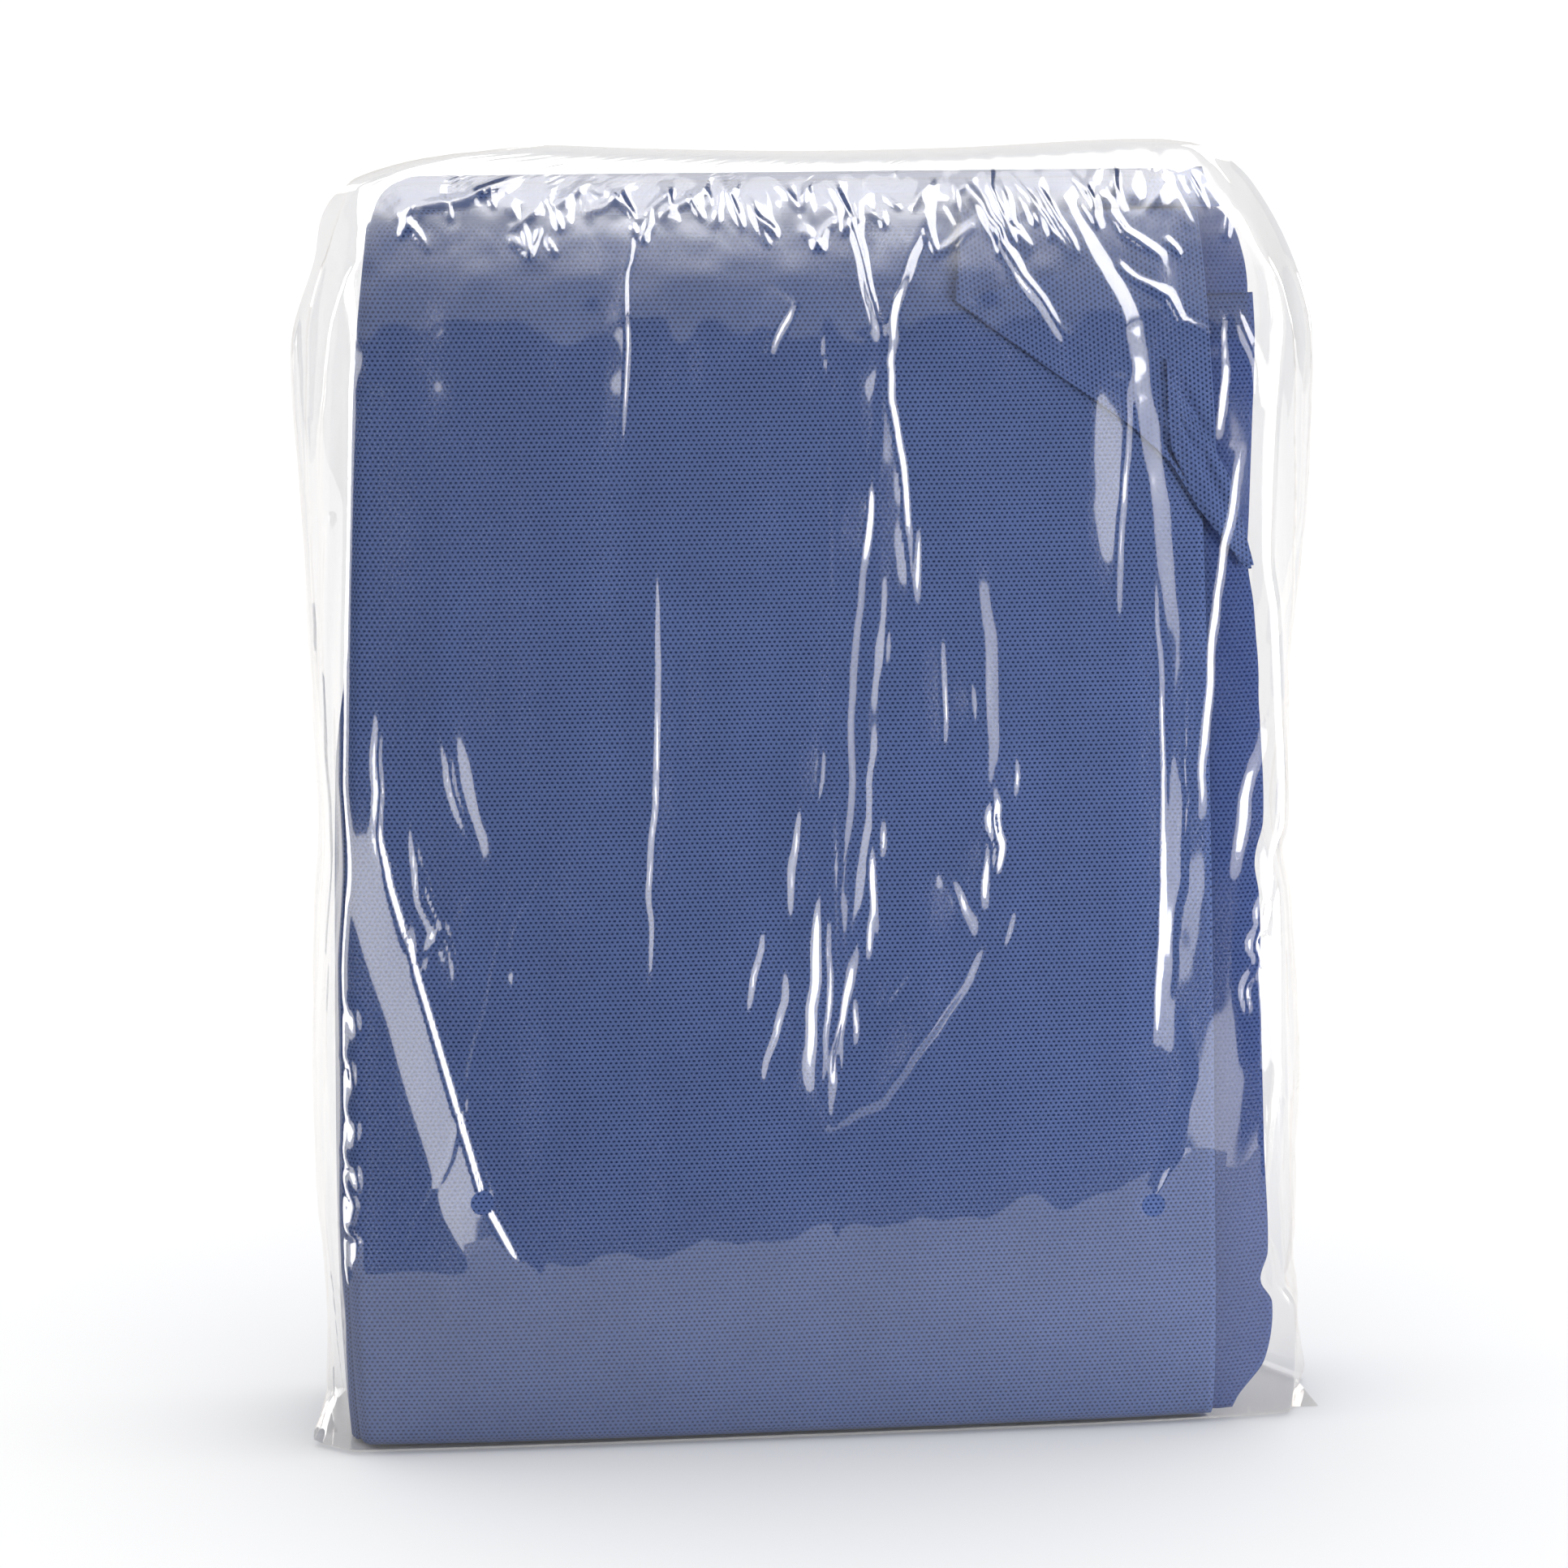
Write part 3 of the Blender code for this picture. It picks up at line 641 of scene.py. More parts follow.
def pressed(stack):
    """Presses the straight stack into the pack's own form: its bulge, its lean, its stepped rims."""
    mesh = stack.data
    place = np.empty(len(mesh.vertices) * 3, np.float32)
    mesh.vertices.foreach_get("co", place)
    x, y, z = place.reshape(-1, 3).T / MM
    share = np.clip((y / LEAF_PITCH + 0.5) / LEAVES, 0.0, 1.0)
    straight_left = read(LEFT_FOLD, "x", z)
    straight_right = LEAF_RIGHT + read(RIGHT_EDGE_SHAPE, "x", z)
    u = (x - straight_left) / (straight_right - straight_left)
    bulge = LEFT_BULGE * smooth_step(share, 0.03, 0.12) * (1.0 - smooth_step(share, 0.45, 0.7))
    bulge = bulge * (1.0 - smooth_step(z, 215.0, 262.0))
    left = straight_left + read(HIDDEN_SHAPE, "left_inset", share) + 0.8 - bulge
    right = straight_right + read(HIDDEN_SHAPE, "right", share) - (LEAF_RIGHT + RIM_CLEAR)
    top = read(HIDDEN_SHAPE, "top", share) - RIM_CLEAR
    lowest = PANEL_LOW + 3.0 * (1.0 - window_of(share, 0.045, 0.955, 0.005))
    new_x = left + (right - left) * u
    new_z = np.maximum(lowest + z * (top - lowest) / LEAF_TOP, lowest)
    under_sleeve = 2.6 * smooth_step(new_x, 0.0, 36.0)
    front_y = depth_of_face("front", new_x, new_z) + FACE_CLEAR + under_sleeve
    back_y = depth_of_face("back", new_x, new_z) - FACE_CLEAR
    new_y = front_y + (back_y - front_y) * share
    moved = np.stack([new_x, new_y, new_z], axis=1) * MM
    mesh.vertices.foreach_set("co", moved.astype(np.float32).ravel())
    mesh.update()


# The folded layers get a darker copy of the gown cloth: painted shade for the layers that lie pressed
# between the panels. Less light also passes through it.
shaded_inner_blue = bonded_cloth("gown blue, folds", (0.074, 0.112, 0.262), back_light=0.05)
layers = one_leaf()
inputs = {"Leaves": LEAVES, "Pitch": LEAF_PITCH * MM, "Stray": LEAF_STRAY, "Seed": LEAF_SEED}
stacked(layers, {**inputs, "Cloth": shaded_inner_blue})
pressed(layers)
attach(layers, "root")
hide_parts("hidden_layers")

# The under panel: the body's other side, which stands out past the front panel at the right. Its
# margin droops back, so light from behind catches it.
UNDER_EDGE = {
    "height": (2.2, 7.1, 18.3, 38.5, 46.5, 56, 91.5, 132, 173.5)
    + (185.5, 197.5, 232, 265.5, 280, 296, 324.5, 350, 364),
    "left": (88.0,) * 18,
    "right": (133, 135, 143, 145, 140.5, 143, 141, 139.5, 138.5)
    + (136.8, 140, 139, 137.5, 135.6, 136.6, 139, 141.5, 142),
}
UNDER_CREASES = (
    (1.1, 3.5, ((126, 262), (136, 250), (139, 240))),
    (-0.9, 3.0, ((124, 246), (134, 238), (139, 232))),
    (0.7, 4.0, ((130, 330), (129, 290), (133, 262))),
    (0.8, 3.0, ((124, 190), (134, 186), (140, 186))),
    (-0.6, 4.0, ((128, 160), (131, 120), (128, 80))),
    (0.7, 4.5, ((126, 52), (138, 46), (142, 44))),
    (-0.6, 5.0, ((126, 30), (134, 22), (143, 20))),
)


CURL_WIDE = 7.0


def lying_cloth(name, table, lift, creases, step, material, droop=0.0, above_hem=0.0, curl=0.0):
    """A layer that lies between the left and the right edge of a table, at one lift from the face.
    Its right margin can droop back, its left edge curl up, and its lower left corner stand above
    the hem of the panel over it."""
    low, high = table["height"][0], table["height"][-1]
    heights = np.linspace(low, high, int((high - low) / step) + 1)
    left = np.interp(heights, table["height"], table["left"])
    right = read(table, "right", heights)
    columns = max(int((right - left).max() / step), 6)
    x = left[:, None] + (right - left)[:, None] * np.linspace(0.0, 1.0, columns)[None, :]
    z = np.broadcast_to(heights[:, None], x.shape).copy()
    lifted = lift + creased(x, z, creases)
    lifted = lifted + curl * smooth_step(left[:, None] + CURL_WIDE - x, 0.0, CURL_WIDE)
    place = on_face("front", x, z, lifted)
    place[..., 1] += droop * smooth_step(x, 127.0, 146.0)
    at_hem = (1.0 - smooth_step(x, 118.0, 128.0)) * (1.0 - smooth_step(z, 0.0, 18.0))
    place[..., 2] += above_hem * at_hem
    return piece_from_grid(name, place, np.stack([x, z], axis=-1), material)


hangs = {"droop": 3.0, "above_hem": 2.9}
under = lying_cloth("under_panel_cloth", UNDER_EDGE, -1.6, UNDER_CREASES, 1.6, edge_blue, **hangs)
as_cloth(under, "under_panel")

# The sleeve: laid flat over the top right corner with its thread turned a quarter, its loose end
# gathered in a soft drape down the right edge.
SLEEVE_EDGE = {
    "height": (278, 283, 297, 311.5, 323.5, 342.5, 362, 383.5, 389),
    "left": (133.5, 129.5, 118.5, 110, 97.3, 70, 43, 46.6, 47),
    "right": (135.5, 134.5, 129.5, 125.6, 125.3, 125, 125, 125, 125),
}
SLEEVE_CREASES = (
    (0.9, 1.3, ((44, 362), (66, 367), (84, 371))),
    (-0.7, 1.4, ((52, 355), (72, 358), (88, 359))),
    (1.9, 2.0, ((109, 338), (115, 324), (124, 312))),
    (-1.2, 1.6, ((112, 342), (119, 326), (126, 316))),
    (1.8, 1.8, ((108, 329), (111, 319), (122, 310))),
    (-1.1, 1.6, ((106, 324), (114, 310), (122, 298))),
    (1.7, 1.6, ((112, 312), (121, 298), (131, 283))),
    (0.8, 3.0, ((100, 388), (108, 372), (112, 352))),
)
sleeve = lying_cloth(
    "sleeve_cloth", SLEEVE_EDGE, 1.3, SLEEVE_CREASES, 1.0, turned_blue, curl=0.8
)
as_cloth(sleeve, "sleeve_fold", SLEEVE_WALL)

TAIL_EDGE = {
    "height": (279, 282, 292, 304, 315, 323, 330, 336, 343),
    "left": (134.6, 130.2, 123.5, 115.8, 110.5, 109.2, 109.6, 109.8, 110.2),
    "right": (136.0, 135.4, 133, 130, 124.4, 118.6, 114.4, 112.0, 110.8),
}
TAIL_CREASES = (
    (0.9, 1.5, ((112, 334), (113, 322), (118, 309), (127, 292))),
    (-0.8, 1.2, ((115, 329), (117, 319), (123, 307), (131, 290))),
    (0.8, 1.4, ((119, 322), (124, 311), (130, 298))),
)
tail = lying_cloth("sleeve_tail_cloth", TAIL_EDGE, 2.2, TAIL_CREASES, 0.9, turned_blue, curl=0.5)
as_cloth(tail, "sleeve_fold", SLEEVE_WALL)

# The shoulder layer and the neck corner: parts of the gown's yoke that stand up behind the
# sleeve, cut on slanted lines, with a fold line across each.
SHOULDER_EDGE = {
    "height": (350, 362, 368, 376, 385.5, 391.5),
    "left": (120.6,) * 6,
    "right": (139.0, 140, 140.5, 140, 137.5, 132),
}
SHOULDER_CREASES = (
    (0.6, 1.2, ((134, 392), (134, 386), (134, 381))),
    (0.5, 1.4, ((124, 384), (130, 382), (139, 381))),
)
shoulder = lying_cloth("shoulder_cloth", SHOULDER_EDGE, -2.2, SHOULDER_CREASES, 1.1, edge_blue, droop=2.0)
as_cloth(shoulder, "shoulder_layer")

NECK_EDGE = {
    "height": (390.8, 393.5, 397.5, 402.5),
    "left": (92, 96, 106, 127.4),
    "right": (133.5, 132.5, 131, 129.4),
}
NECK_CREASES = ((0.5, 1.2, ((104, 394), (118, 395.5), (131, 396))),)
neck = lying_cloth("neck_corner_cloth", NECK_EDGE, -1.3, NECK_CREASES, 0.8, gown_blue)
as_cloth(neck, "neck_corner")

# The clear bag: thin blown film of low density polythene round the whole pack, welded along both
# sides. It clings to the cloth at the front, where folding and handling left it full of small
# sharp creases, and stands off loosely at its top and its corners.
FILM_SEED = 11
BAG_TOP, LOWEST_FILM, FILM_GAP, FACE_WIDE = 410.5, 0.25, 1.0, 262.0
BAG_SEAMS = {
    "height": (0, 3, 12.2, 40.5, 81, 117.5, 162, 194.5, 233)
    + (272, 304, 350, 375, 396.5, 405.5, 409.5, 410.5),
    "left": (-162, -166, -161, -159, -161, -161.5, -159.5, -157.5, -159.5)
    + (-162, -164, -166, -158.5, -151, -128, -98, -84),
    "left_depth": (-30, -31, -22, -10, 0, 4, 4, 4, 4, 4, 4, 5, 7, 12, 19, 23, 25),
    "right": (163, 166, 165, 161, 160, 162.5, 158, 151.5, 156.5)
    + (160.5, 162.5, 163.5, 157, 146, 137, 127, 118),
    "right_depth": (3, 4, 5, 5, 5, 5, 5, 5, 5, 5, 5, 5, 9, 16, 21, 25, 26),
}
BAG_FACES = {
    "height": (0, 3, 12.2, 25.4, 45.5, 91.5, 142, 192.5, 243.5)
    + (289, 324.5, 350, 370, 388.5, 399.5, 406.5, 410, 410.5),
    "front": (-43.5, -47.6, -50.6, -52.6, -54, -54.6, -54, -51.2, -46.4)
    + (-39.6, -31.4, -23.4, -14.8, -4, 4.5, 12, 19, 25),
    "back": (39.5, 43.6, 46.8, 49.2, 51.4, 53.2, 54.2, 54.6, 54.6)
    + (54.4, 53.2, 51.8, 49.8, 46.2, 42.4, 37, 31.5, 28),
}
BAG_ROUNDING = {"front": (3.2, 4.5), "back": (16.0, 14.0)}
BAG_TOP_WAVE = {
    "x": (-150, -118, -88, -50, 0, 50, 104, 128, 150),
    "rise": (-2, -0.6, 0, -1.6, -2.8, -2.2, 0, -0.6, -2.5),
}


def uneven(x, z, cell_x, cell_z, seed):
    """Smooth random height from -1 to 1, with one value to each cell of the given size."""
    chance = np.random.default_rng(seed)
    lattice = chance.uniform(-1.0, 1.0, (97, 97))
    u, v = x / cell_x, z / cell_z
    i, j = np.floor(u).astype(int), np.floor(v).astype(int)
    s, t = u - i, v - j
    s, t = s * s * (3 - 2 * s), t * t * (3 - 2 * t)
    i, j = i % 96, j % 96
    low = lattice[i, j] * (1 - s) + lattice[i + 1, j] * s
    high = lattice[i, j + 1] * (1 - s) + lattice[i + 1, j + 1] * s
    return low * (1 - t) + high * t


# Creases of the front, each as (half width, height, points down the film). A ridge is round. A
# roll or a lean is a flat facet that faces right or left, with the film falling slowly behind it.
FRONT_RIDGES = (
    (1.2, 0.67, (-113, 395), (-100, 400), (-92, 404)),
    (1.0, 0.56, (-82, 402), (-84, 396), (-82, 392)),
    (1.1, 0.62, (-66, 398), (-72, 401), (-82, 394)),
    (1.0, 0.56, (-73, 392), (-67, 394), (-61, 398), (-56, 389)),
    (1.0, 0.56, (-44, 400), (-52, 394), (-56, 389)),
    (1.2, 0.67, (-30, 408), (-35, 399), (-47, 393), (-49, 390)),
    (1.0, 0.56, (-28, 405), (-30, 395), (-33, 387)),
    (1.1, 0.62, (-29, 408), (-27, 399), (-22, 386)),
    (1.0, 0.56, (-19, 397), (-18, 390), (-15, 381)),
    (1.0, 0.56, (7, 390), (2, 386), (-2, 379)),
    (1.4, 0.78, (4, 405), (11, 390), (14, 376), (19, 351)),
    (0.9, 0.50, (14, 396), (14, 384)),
    (0.9, 0.50, (46, 403), (46, 392)),
    (1.0, 0.56, (51, 387), (44, 381), (37, 377)),
    (1.6, 0.90, (48, 403), (55, 390), (63, 375), (78, 350)),
    (1.1, 0.62, (57, 399), (59, 392), (64, 380)),
    (1.0, 0.56, (64, 402), (75, 388), (82, 376)),
    (1.0, 0.56, (72, 399), (81, 384), (84, 376)),
    (1.3, 0.73, (94, 405), (88, 395)),
    (1.2, 0.67, (95, 390), (100, 383), (112, 375)),
    (1.2, 0.67, (96, 374), (102, 369), (112, 364), (115, 356), (124, 352)),
    (0.9, 0.50, (112, 381), (117, 376)),
    (1.0, 0.56, (-98, 387), (-87, 394)),
    (0.9, 0.50, (-87, 387), (-91, 379)),
    (0.9, 0.50, (-86, 384), (-82, 379)),
    (1.4, 0.78, (-134, 391), (-114, 396), (-92, 402)),
    (1.2, 0.67, (-118, 409), (-98, 406), (-77, 408)),
    (1.2, 0.67, (134, 359), (138, 342), (140, 329)),
    (1.0, 0.56, (102, 76), (107, 85), (113, 93)),
    (0.9, 0.50, (123, 40), (129, 48)),
    (1.1, 0.80, (141, 178), (136, 169), (140, 163)),
    (1.1, 0.80, (141, 167), (135, 159), (139, 152)),
    (1.2, 0.80, (137, 152), (132, 145), (134, 136)),
    (1.0, 0.50, (140, 40), (147, 36)),
    (1.3, 0.85, (53, 208), (50, 202), (52, 194), (50, 184)),
    (1.2, 0.67, (-144, 239), (-144, 200), (-141, 189)),
    (1.0, 0.56, (-133, 205), (-132, 194), (-131, 181), (-127, 171), (-123, 160)),
    (1.0, 0.56, (-132, 198), (-128, 183), (-124, 172), (-120, 155)),
    (0.9, 0.50, (-136, 173), (-133, 158)),
    (1.1, 0.62, (-123, 173), (-131, 163), (-133, 158)),
    (1.0, 0.56, (-124, 232), (-119, 208), (-116, 201)),
    (0.8, 0.22, (-108, 188), (-120, 176)),
    (0.9, 0.20, (-91, 190), (-101, 170), (-103, 162)),
    (0.9, 0.30, (-98, 66), (-94, 52)),
    (0.8, 0.18, (-101, 188), (-122, 99), (-137, 69)),
    (1.0, 0.56, (-103, 157), (-101, 154)),
    (1.3, 0.80, (-157, 150), (-152, 146), (-151, 138)),
    (1.2, 0.75, (-158, 134), (-153, 129), (-152, 121)),
    (1.2, 0.70, (-157, 116), (-152, 110), (-153, 103)),
    (1.3, 0.80, (-158, 103), (-153, 96), (-152, 88)),
    (1.2, 0.70, (-157, 92), (-153, 84), (-154, 77)),
    (1.2, 0.80, (-157, 79), (-152, 72), (-152, 62)),
    (1.1, 0.70, (-157, 66), (-154, 58), (-155, 50)),
)
FRONT_ROLLS = (
    (1.0, 0.58, (-56, 390), (-60, 374), (-62, 350), (-65, 317)),
    (2.0, 0.80, (41, 403), (38, 392), (34, 382), (27, 367), (20, 350)),
    (1.3, 0.72, (61, 401), (64, 387), (71, 380)),
    (3.4, 1.00, (82, 398), (88, 383), (95, 368), (100, 355), (102, 330), (106, 295), (109, 264), (110, 236)),
    (1.4, 0.80, (133, 316), (126, 284), (121, 254), (118, 228), (117, 200)),
    (4.6, 1.25, (112, 252), (111, 228), (109, 203), (107, 164), (106, 124)),
    (1.1, 0.62, (104, 284), (104, 229), (104, 177), (103, 128)),
    (1.6, 0.80, (98, 340), (96, 315), (94, 295), (91, 262)),
    (1.3, 0.75, (130, 358), (128, 344), (128, 337), (125, 318)),
    (2.6, 0.80, (139, 230), (133, 212), (130, 197), (128, 180)),
    (1.3, 0.75, (142, 192), (141, 160), (142, 130)),
    (1.2, 0.70, (138, 190), (138, 150), (140, 118)),
    (1.4, 0.80, (-8, 364), (-12, 356), (-17, 346)),
    (1.5, 0.86, (25, 366), (23, 352), (21, 344), (22, 326), (24, 306), (24, 286), (27, 268)),
    (1.5, 0.48, (21, 360), (17, 336), (14, 316), (12, 294), (8, 266), (5, 231), (3, 193), (2, 145)),
    (1.1, 0.63, (13, 306), (10, 283)),
    (1.1, 0.63, (35, 262), (35, 240), (35, 222)),
    (3.0, 0.85, (48, 284), (51, 255), (51, 230), (50, 206)),
    (1.0, 0.57, (27, 295), (27, 271)),
    (1.0, 0.57, (17, 262), (16, 251)),
    (1.0, 0.57, (44, 246), (44, 232)),
    (1.0, 0.57, (59, 221), (58, 208)),
    (1.3, 0.70, (52, 212), (51, 184)),
    (1.0, 0.57, (-3, 229), (-6, 206)),
    (1.3, 0.70, (-2, 174), (-3, 147), (-5, 113)),
    (1.7, 0.95, (7, 175), (4, 152), (0, 133), (-2, 115), (-3, 103)),
    (1.1, 0.63, (10, 198), (11, 181), (13, 165)),
    (1.0, 0.57, (11, 173), (10, 158)),
    (1.0, 0.57, (6, 146), (5, 131)),
    (1.0, 0.57, (15, 202), (15, 190)),
    (1.5, 0.82, (48, 198), (47, 172)),
    (1.8, 1.01, (35, 186), (45, 166)),
    (1.6, 0.89, (49, 164), (43, 152), (31, 135), (15, 112), (6, 109), (-3, 103)),
    (1.0, 0.57, (57, 173), (52, 160)),
    (1.0, 0.57, (24, 154), (14, 141)),
)
FRONT_LEANS = (
    (1.0, 0.55, (113, 250), (112, 203), (110, 164), (109, 140)),
    (2.4, 0.55, (112, 138), (115, 119), (110, 98), (102, 80)),
    (1.2, 0.60, (143, 120), (139, 96), (141, 70)),
    (1.7, 0.55, (16, 283), (15, 266), (12, 236), (10, 205), (6, 174), (3, 145)),
    (1.1, 0.63, (-55, 285), (-56, 232), (-58, 194), (-59, 150)),
    (1.3, 0.70, (-11, 208), (-13, 189), (-15, 171)),
    (1.1, 0.63, (-23, 169), (-29, 142)),
    (1.3, 0.70, (-18, 158), (-17, 146), (-23, 119)),
    (1.4, 0.76, (-5, 185), (-8, 144), (-9, 117)),
    (2.4, 0.65, (-120, 235), (-115, 208), (-112, 201), (-110, 190)),
)
FACET_HALF, LONG_FALL = 0.78, 7.0

# Folds of the loose film beside the pack, by how far in from the weld they lie, and how high.
FOLDS_LEFT = (
    (3.6, 2.60, (2, 366), (9, 340), (14, 300), (16, 262), (12, 214), (18, 176)),
    (3.2, 2.20, (34, 404), (22, 372), (26, 338), (22, 296)),
    (3.2, 2.00, (30, 300), (26, 250), (31, 208), (28, 150), (32, 110)),
    (3.4, 2.20, (8, 196), (16, 150), (12, 104), (19, 58)),
    (2.8, 1.80, (26, 92), (20, 60), (27, 22)),
    (2.6, 1.60, (4, 44), (15, 26), (12, 8)),
    (2.6, 1.60, (38, 180), (36, 140), (40, 96)),
)
FOLDS_RIGHT = (
    (3.6, 2.60, (3, 372), (10, 330), (7, 290), (14, 246)),
    (3.2, 2.20, (30, 400), (24, 366), (28, 320), (21, 276), (26, 240)),
    (3.4, 2.20, (6, 226), (18, 200), (10, 170), (15, 120)),
    (3.0, 2.00, (34, 250), (30, 206), (36, 160), (31, 112)),
    (3.0, 2.00, (24, 142), (17, 100), (22, 62), (14, 24)),
    (2.6, 1.60, (3, 96), (10, 60), (5, 30)),
    (2.6, 1.60, (36, 72), (30, 40), (35, 14)),
)


def one_crease(kind, wide, high, gap, share):
    """A rounded ridge, or a flat facet facing one side with the film falling slowly behind it."""
    fade = np.sqrt(np.sin(np.pi * np.clip(share, 0.0, 1.0)))
    if kind == "ridge":
        return high * fade * np.exp(-((gap / wide) ** 2))
    t = (gap / wide if kind == "lean" else -gap / wide) - FACET_HALF
    climb = np.clip((t + 2 * FACET_HALF) / (2 * FACET_HALF), 0.0, 1.0)
    drop = np.clip(1.0 - t / LONG_FALL, 0.0, 1.0) ** 1.2
    return high * fade * np.minimum(climb, drop)


def short_creases(seed, count, low, high):
    """Short creases where the film is gathered, most of them steep, some of them in a V."""
    chance = np.random.default_rng(seed)
    made = []
    for x in np.linspace(-136.0, 132.0, count) + chance.uniform(-4.0, 4.0, count):
        top = chance.uniform(low, high)
        long = chance.uniform(5.0, 15.0)
        lean = math.radians(chance.uniform(-48.0, 48.0))
        wide = chance.uniform(0.8, 1.2)
        foot_x, foot_z = x + long * math.sin(lean), top - long * math.cos(lean)
        waist = ((x + foot_x) / 2 + chance.uniform(-1.0, 1.0), (top + foot_z) / 2)
        route = [(x, top), waist, (foot_x, foot_z)]
        if chance.random() < 0.3:
            tip_x = foot_x + chance.uniform(3.0, 7.0) * np.sign(-lean)
            route.append((tip_x, foot_z + chance.uniform(3.0, 8.0)))
        made.append((wide, wide * chance.uniform(0.4, 0.65), *route))
    return tuple(made)


def crumple(x, z, crease_sets, strength):
    """The height of the film's creases and ripples at points of one of its faces. Creases wander a
    little off their routes. The film ripples most at its top and bottom, and bags out over the
    sleeve's drape."""
    bent_x = x + 0.7 * uneven(x, z, 5.0, 9.0, FILM_SEED)
    bent_x = bent_x + 0.9 * uneven(x, z, 19.0, 31.0, FILM_SEED + 1)
    bent_z = z + 0.6 * uneven(x, z, 7.0, 6.0, FILM_SEED + 2)
    height = np.zeros(np.shape(x))
    for kind, creases in crease_sets.items():
        for wide, high, *route in creases:
            reach = wide * (3.0 if kind == "ridge" else 1.0 + LONG_FALL)
            xs, zs = [p[0] for p in route], [p[1] for p in route]
            near = (x > min(xs) - reach) & (x < max(xs) + reach)
            near = near & (z > min(zs) - reach) & (z < max(zs) + reach)
            if near.any():
                gap, share = away_from(bent_x[near], bent_z[near], route)
                height[near] += one_crease(kind, wide, high * strength, gap, share)
    high_up = smooth_step(z, 372.0, 396.0)
    low_down = 1.0 - smooth_step(z, 4.0, 22.0)
    ripple = 0.26 * uneven(x, z, 13.0, 60.0, FILM_SEED + 3)
    ripple += 0.02 * uneven(x, z, 5.0, 30.0, FILM_SEED + 4)
    loose = np.abs(uneven(x, z, 8.0, 12.0, FILM_SEED + 5)) - 0.3
    ripple += (0.45 * high_up + 0.3 * low_down) * loose
    ripple += 0.2 * high_up * np.abs(uneven(x + 0.4 * z, z - 0.3 * x, 4.5, 7.0, FILM_SEED + 6))
    ripple += 0.3 * window_of(z, 342.0, 372.0, 12.0) * uneven(x, z, 9.0, 12.0, FILM_SEED + 9)
    over_drape = window_of(x, 104.0, 124.0, 22.0) * window_of(z, 300.0, 318.0, 34.0)
    return height + strength * ripple + 1.2 * over_drape


LONG_CREASE = ((-146, 206), (-141, 184), (-131, 149), (-113, 84), (-98, 55))
PULL_HIGH, PULL_WIDE, PULL_FALL = 1.5, 13.0, 0.115


def pulled_corner(x, z):
    """The flat facet that the long crease at the left pulls out of the film below the middle."""
    gap, _ = away_from(x, z, LONG_CREASE)
    within = smooth_step(z, 56.0, 70.0) * (1.0 - smooth_step(z, 186.0, 214.0))
    slope = PULL_HIGH - PULL_FALL * np.clip(-gap, 0.0, PULL_WIDE)
    behind = PULL_HIGH * np.exp(-((gap / 2.6) ** 2))
    dent = 0.8 * np.exp(-((gap - 1.4) ** 2))
    return (np.where(gap < 0.0, slope, behind) - dent) * within


EAR_COLUMNS, EAR_STRAIGHT = 33, 0.45


def bent(share, first, corner, last):
    """A curve that leaves its first point towards the corner and comes from there to its last."""
    start, end = (1 - share) ** 2 * first[:, None], share**2 * last[:, None]
    return start + 2 * share * (1 - share) * corner[:, None] + end


def bent_ear(seam, corner, inner):
    """The loose film from the weld straight towards the pack's corner, then round it and onto the
    face. Each is the (x, y) of all rows."""
    t = np.linspace(0.0, 1.0, EAR_COLUMNS, endpoint=False)[None, :]
    away = np.hypot(seam[0] - corner[0], seam[1] - corner[1])
    reach = np.clip(np.abs(inner[0] - corner[0]) * 0.62 / np.maximum(away, 1.0), 0.0, 0.85)
    straight = np.clip(t / EAR_STRAIGHT, 0.0, 1.0)
    turn = np.clip((t - EAR_STRAIGHT) / (1.0 - EAR_STRAIGHT), 0.0, 1.0)
    line = []
    for at_seam, at_corner, at_inner in zip(seam, corner, inner):
        first = at_corner + (at_seam - at_corner) * reach
        run = at_seam[:, None] + (first - at_seam)[:, None] * straight
        line.append(np.where(t < EAR_STRAIGHT, run, bent(turn, first, at_corner, at_inner)))
    return line


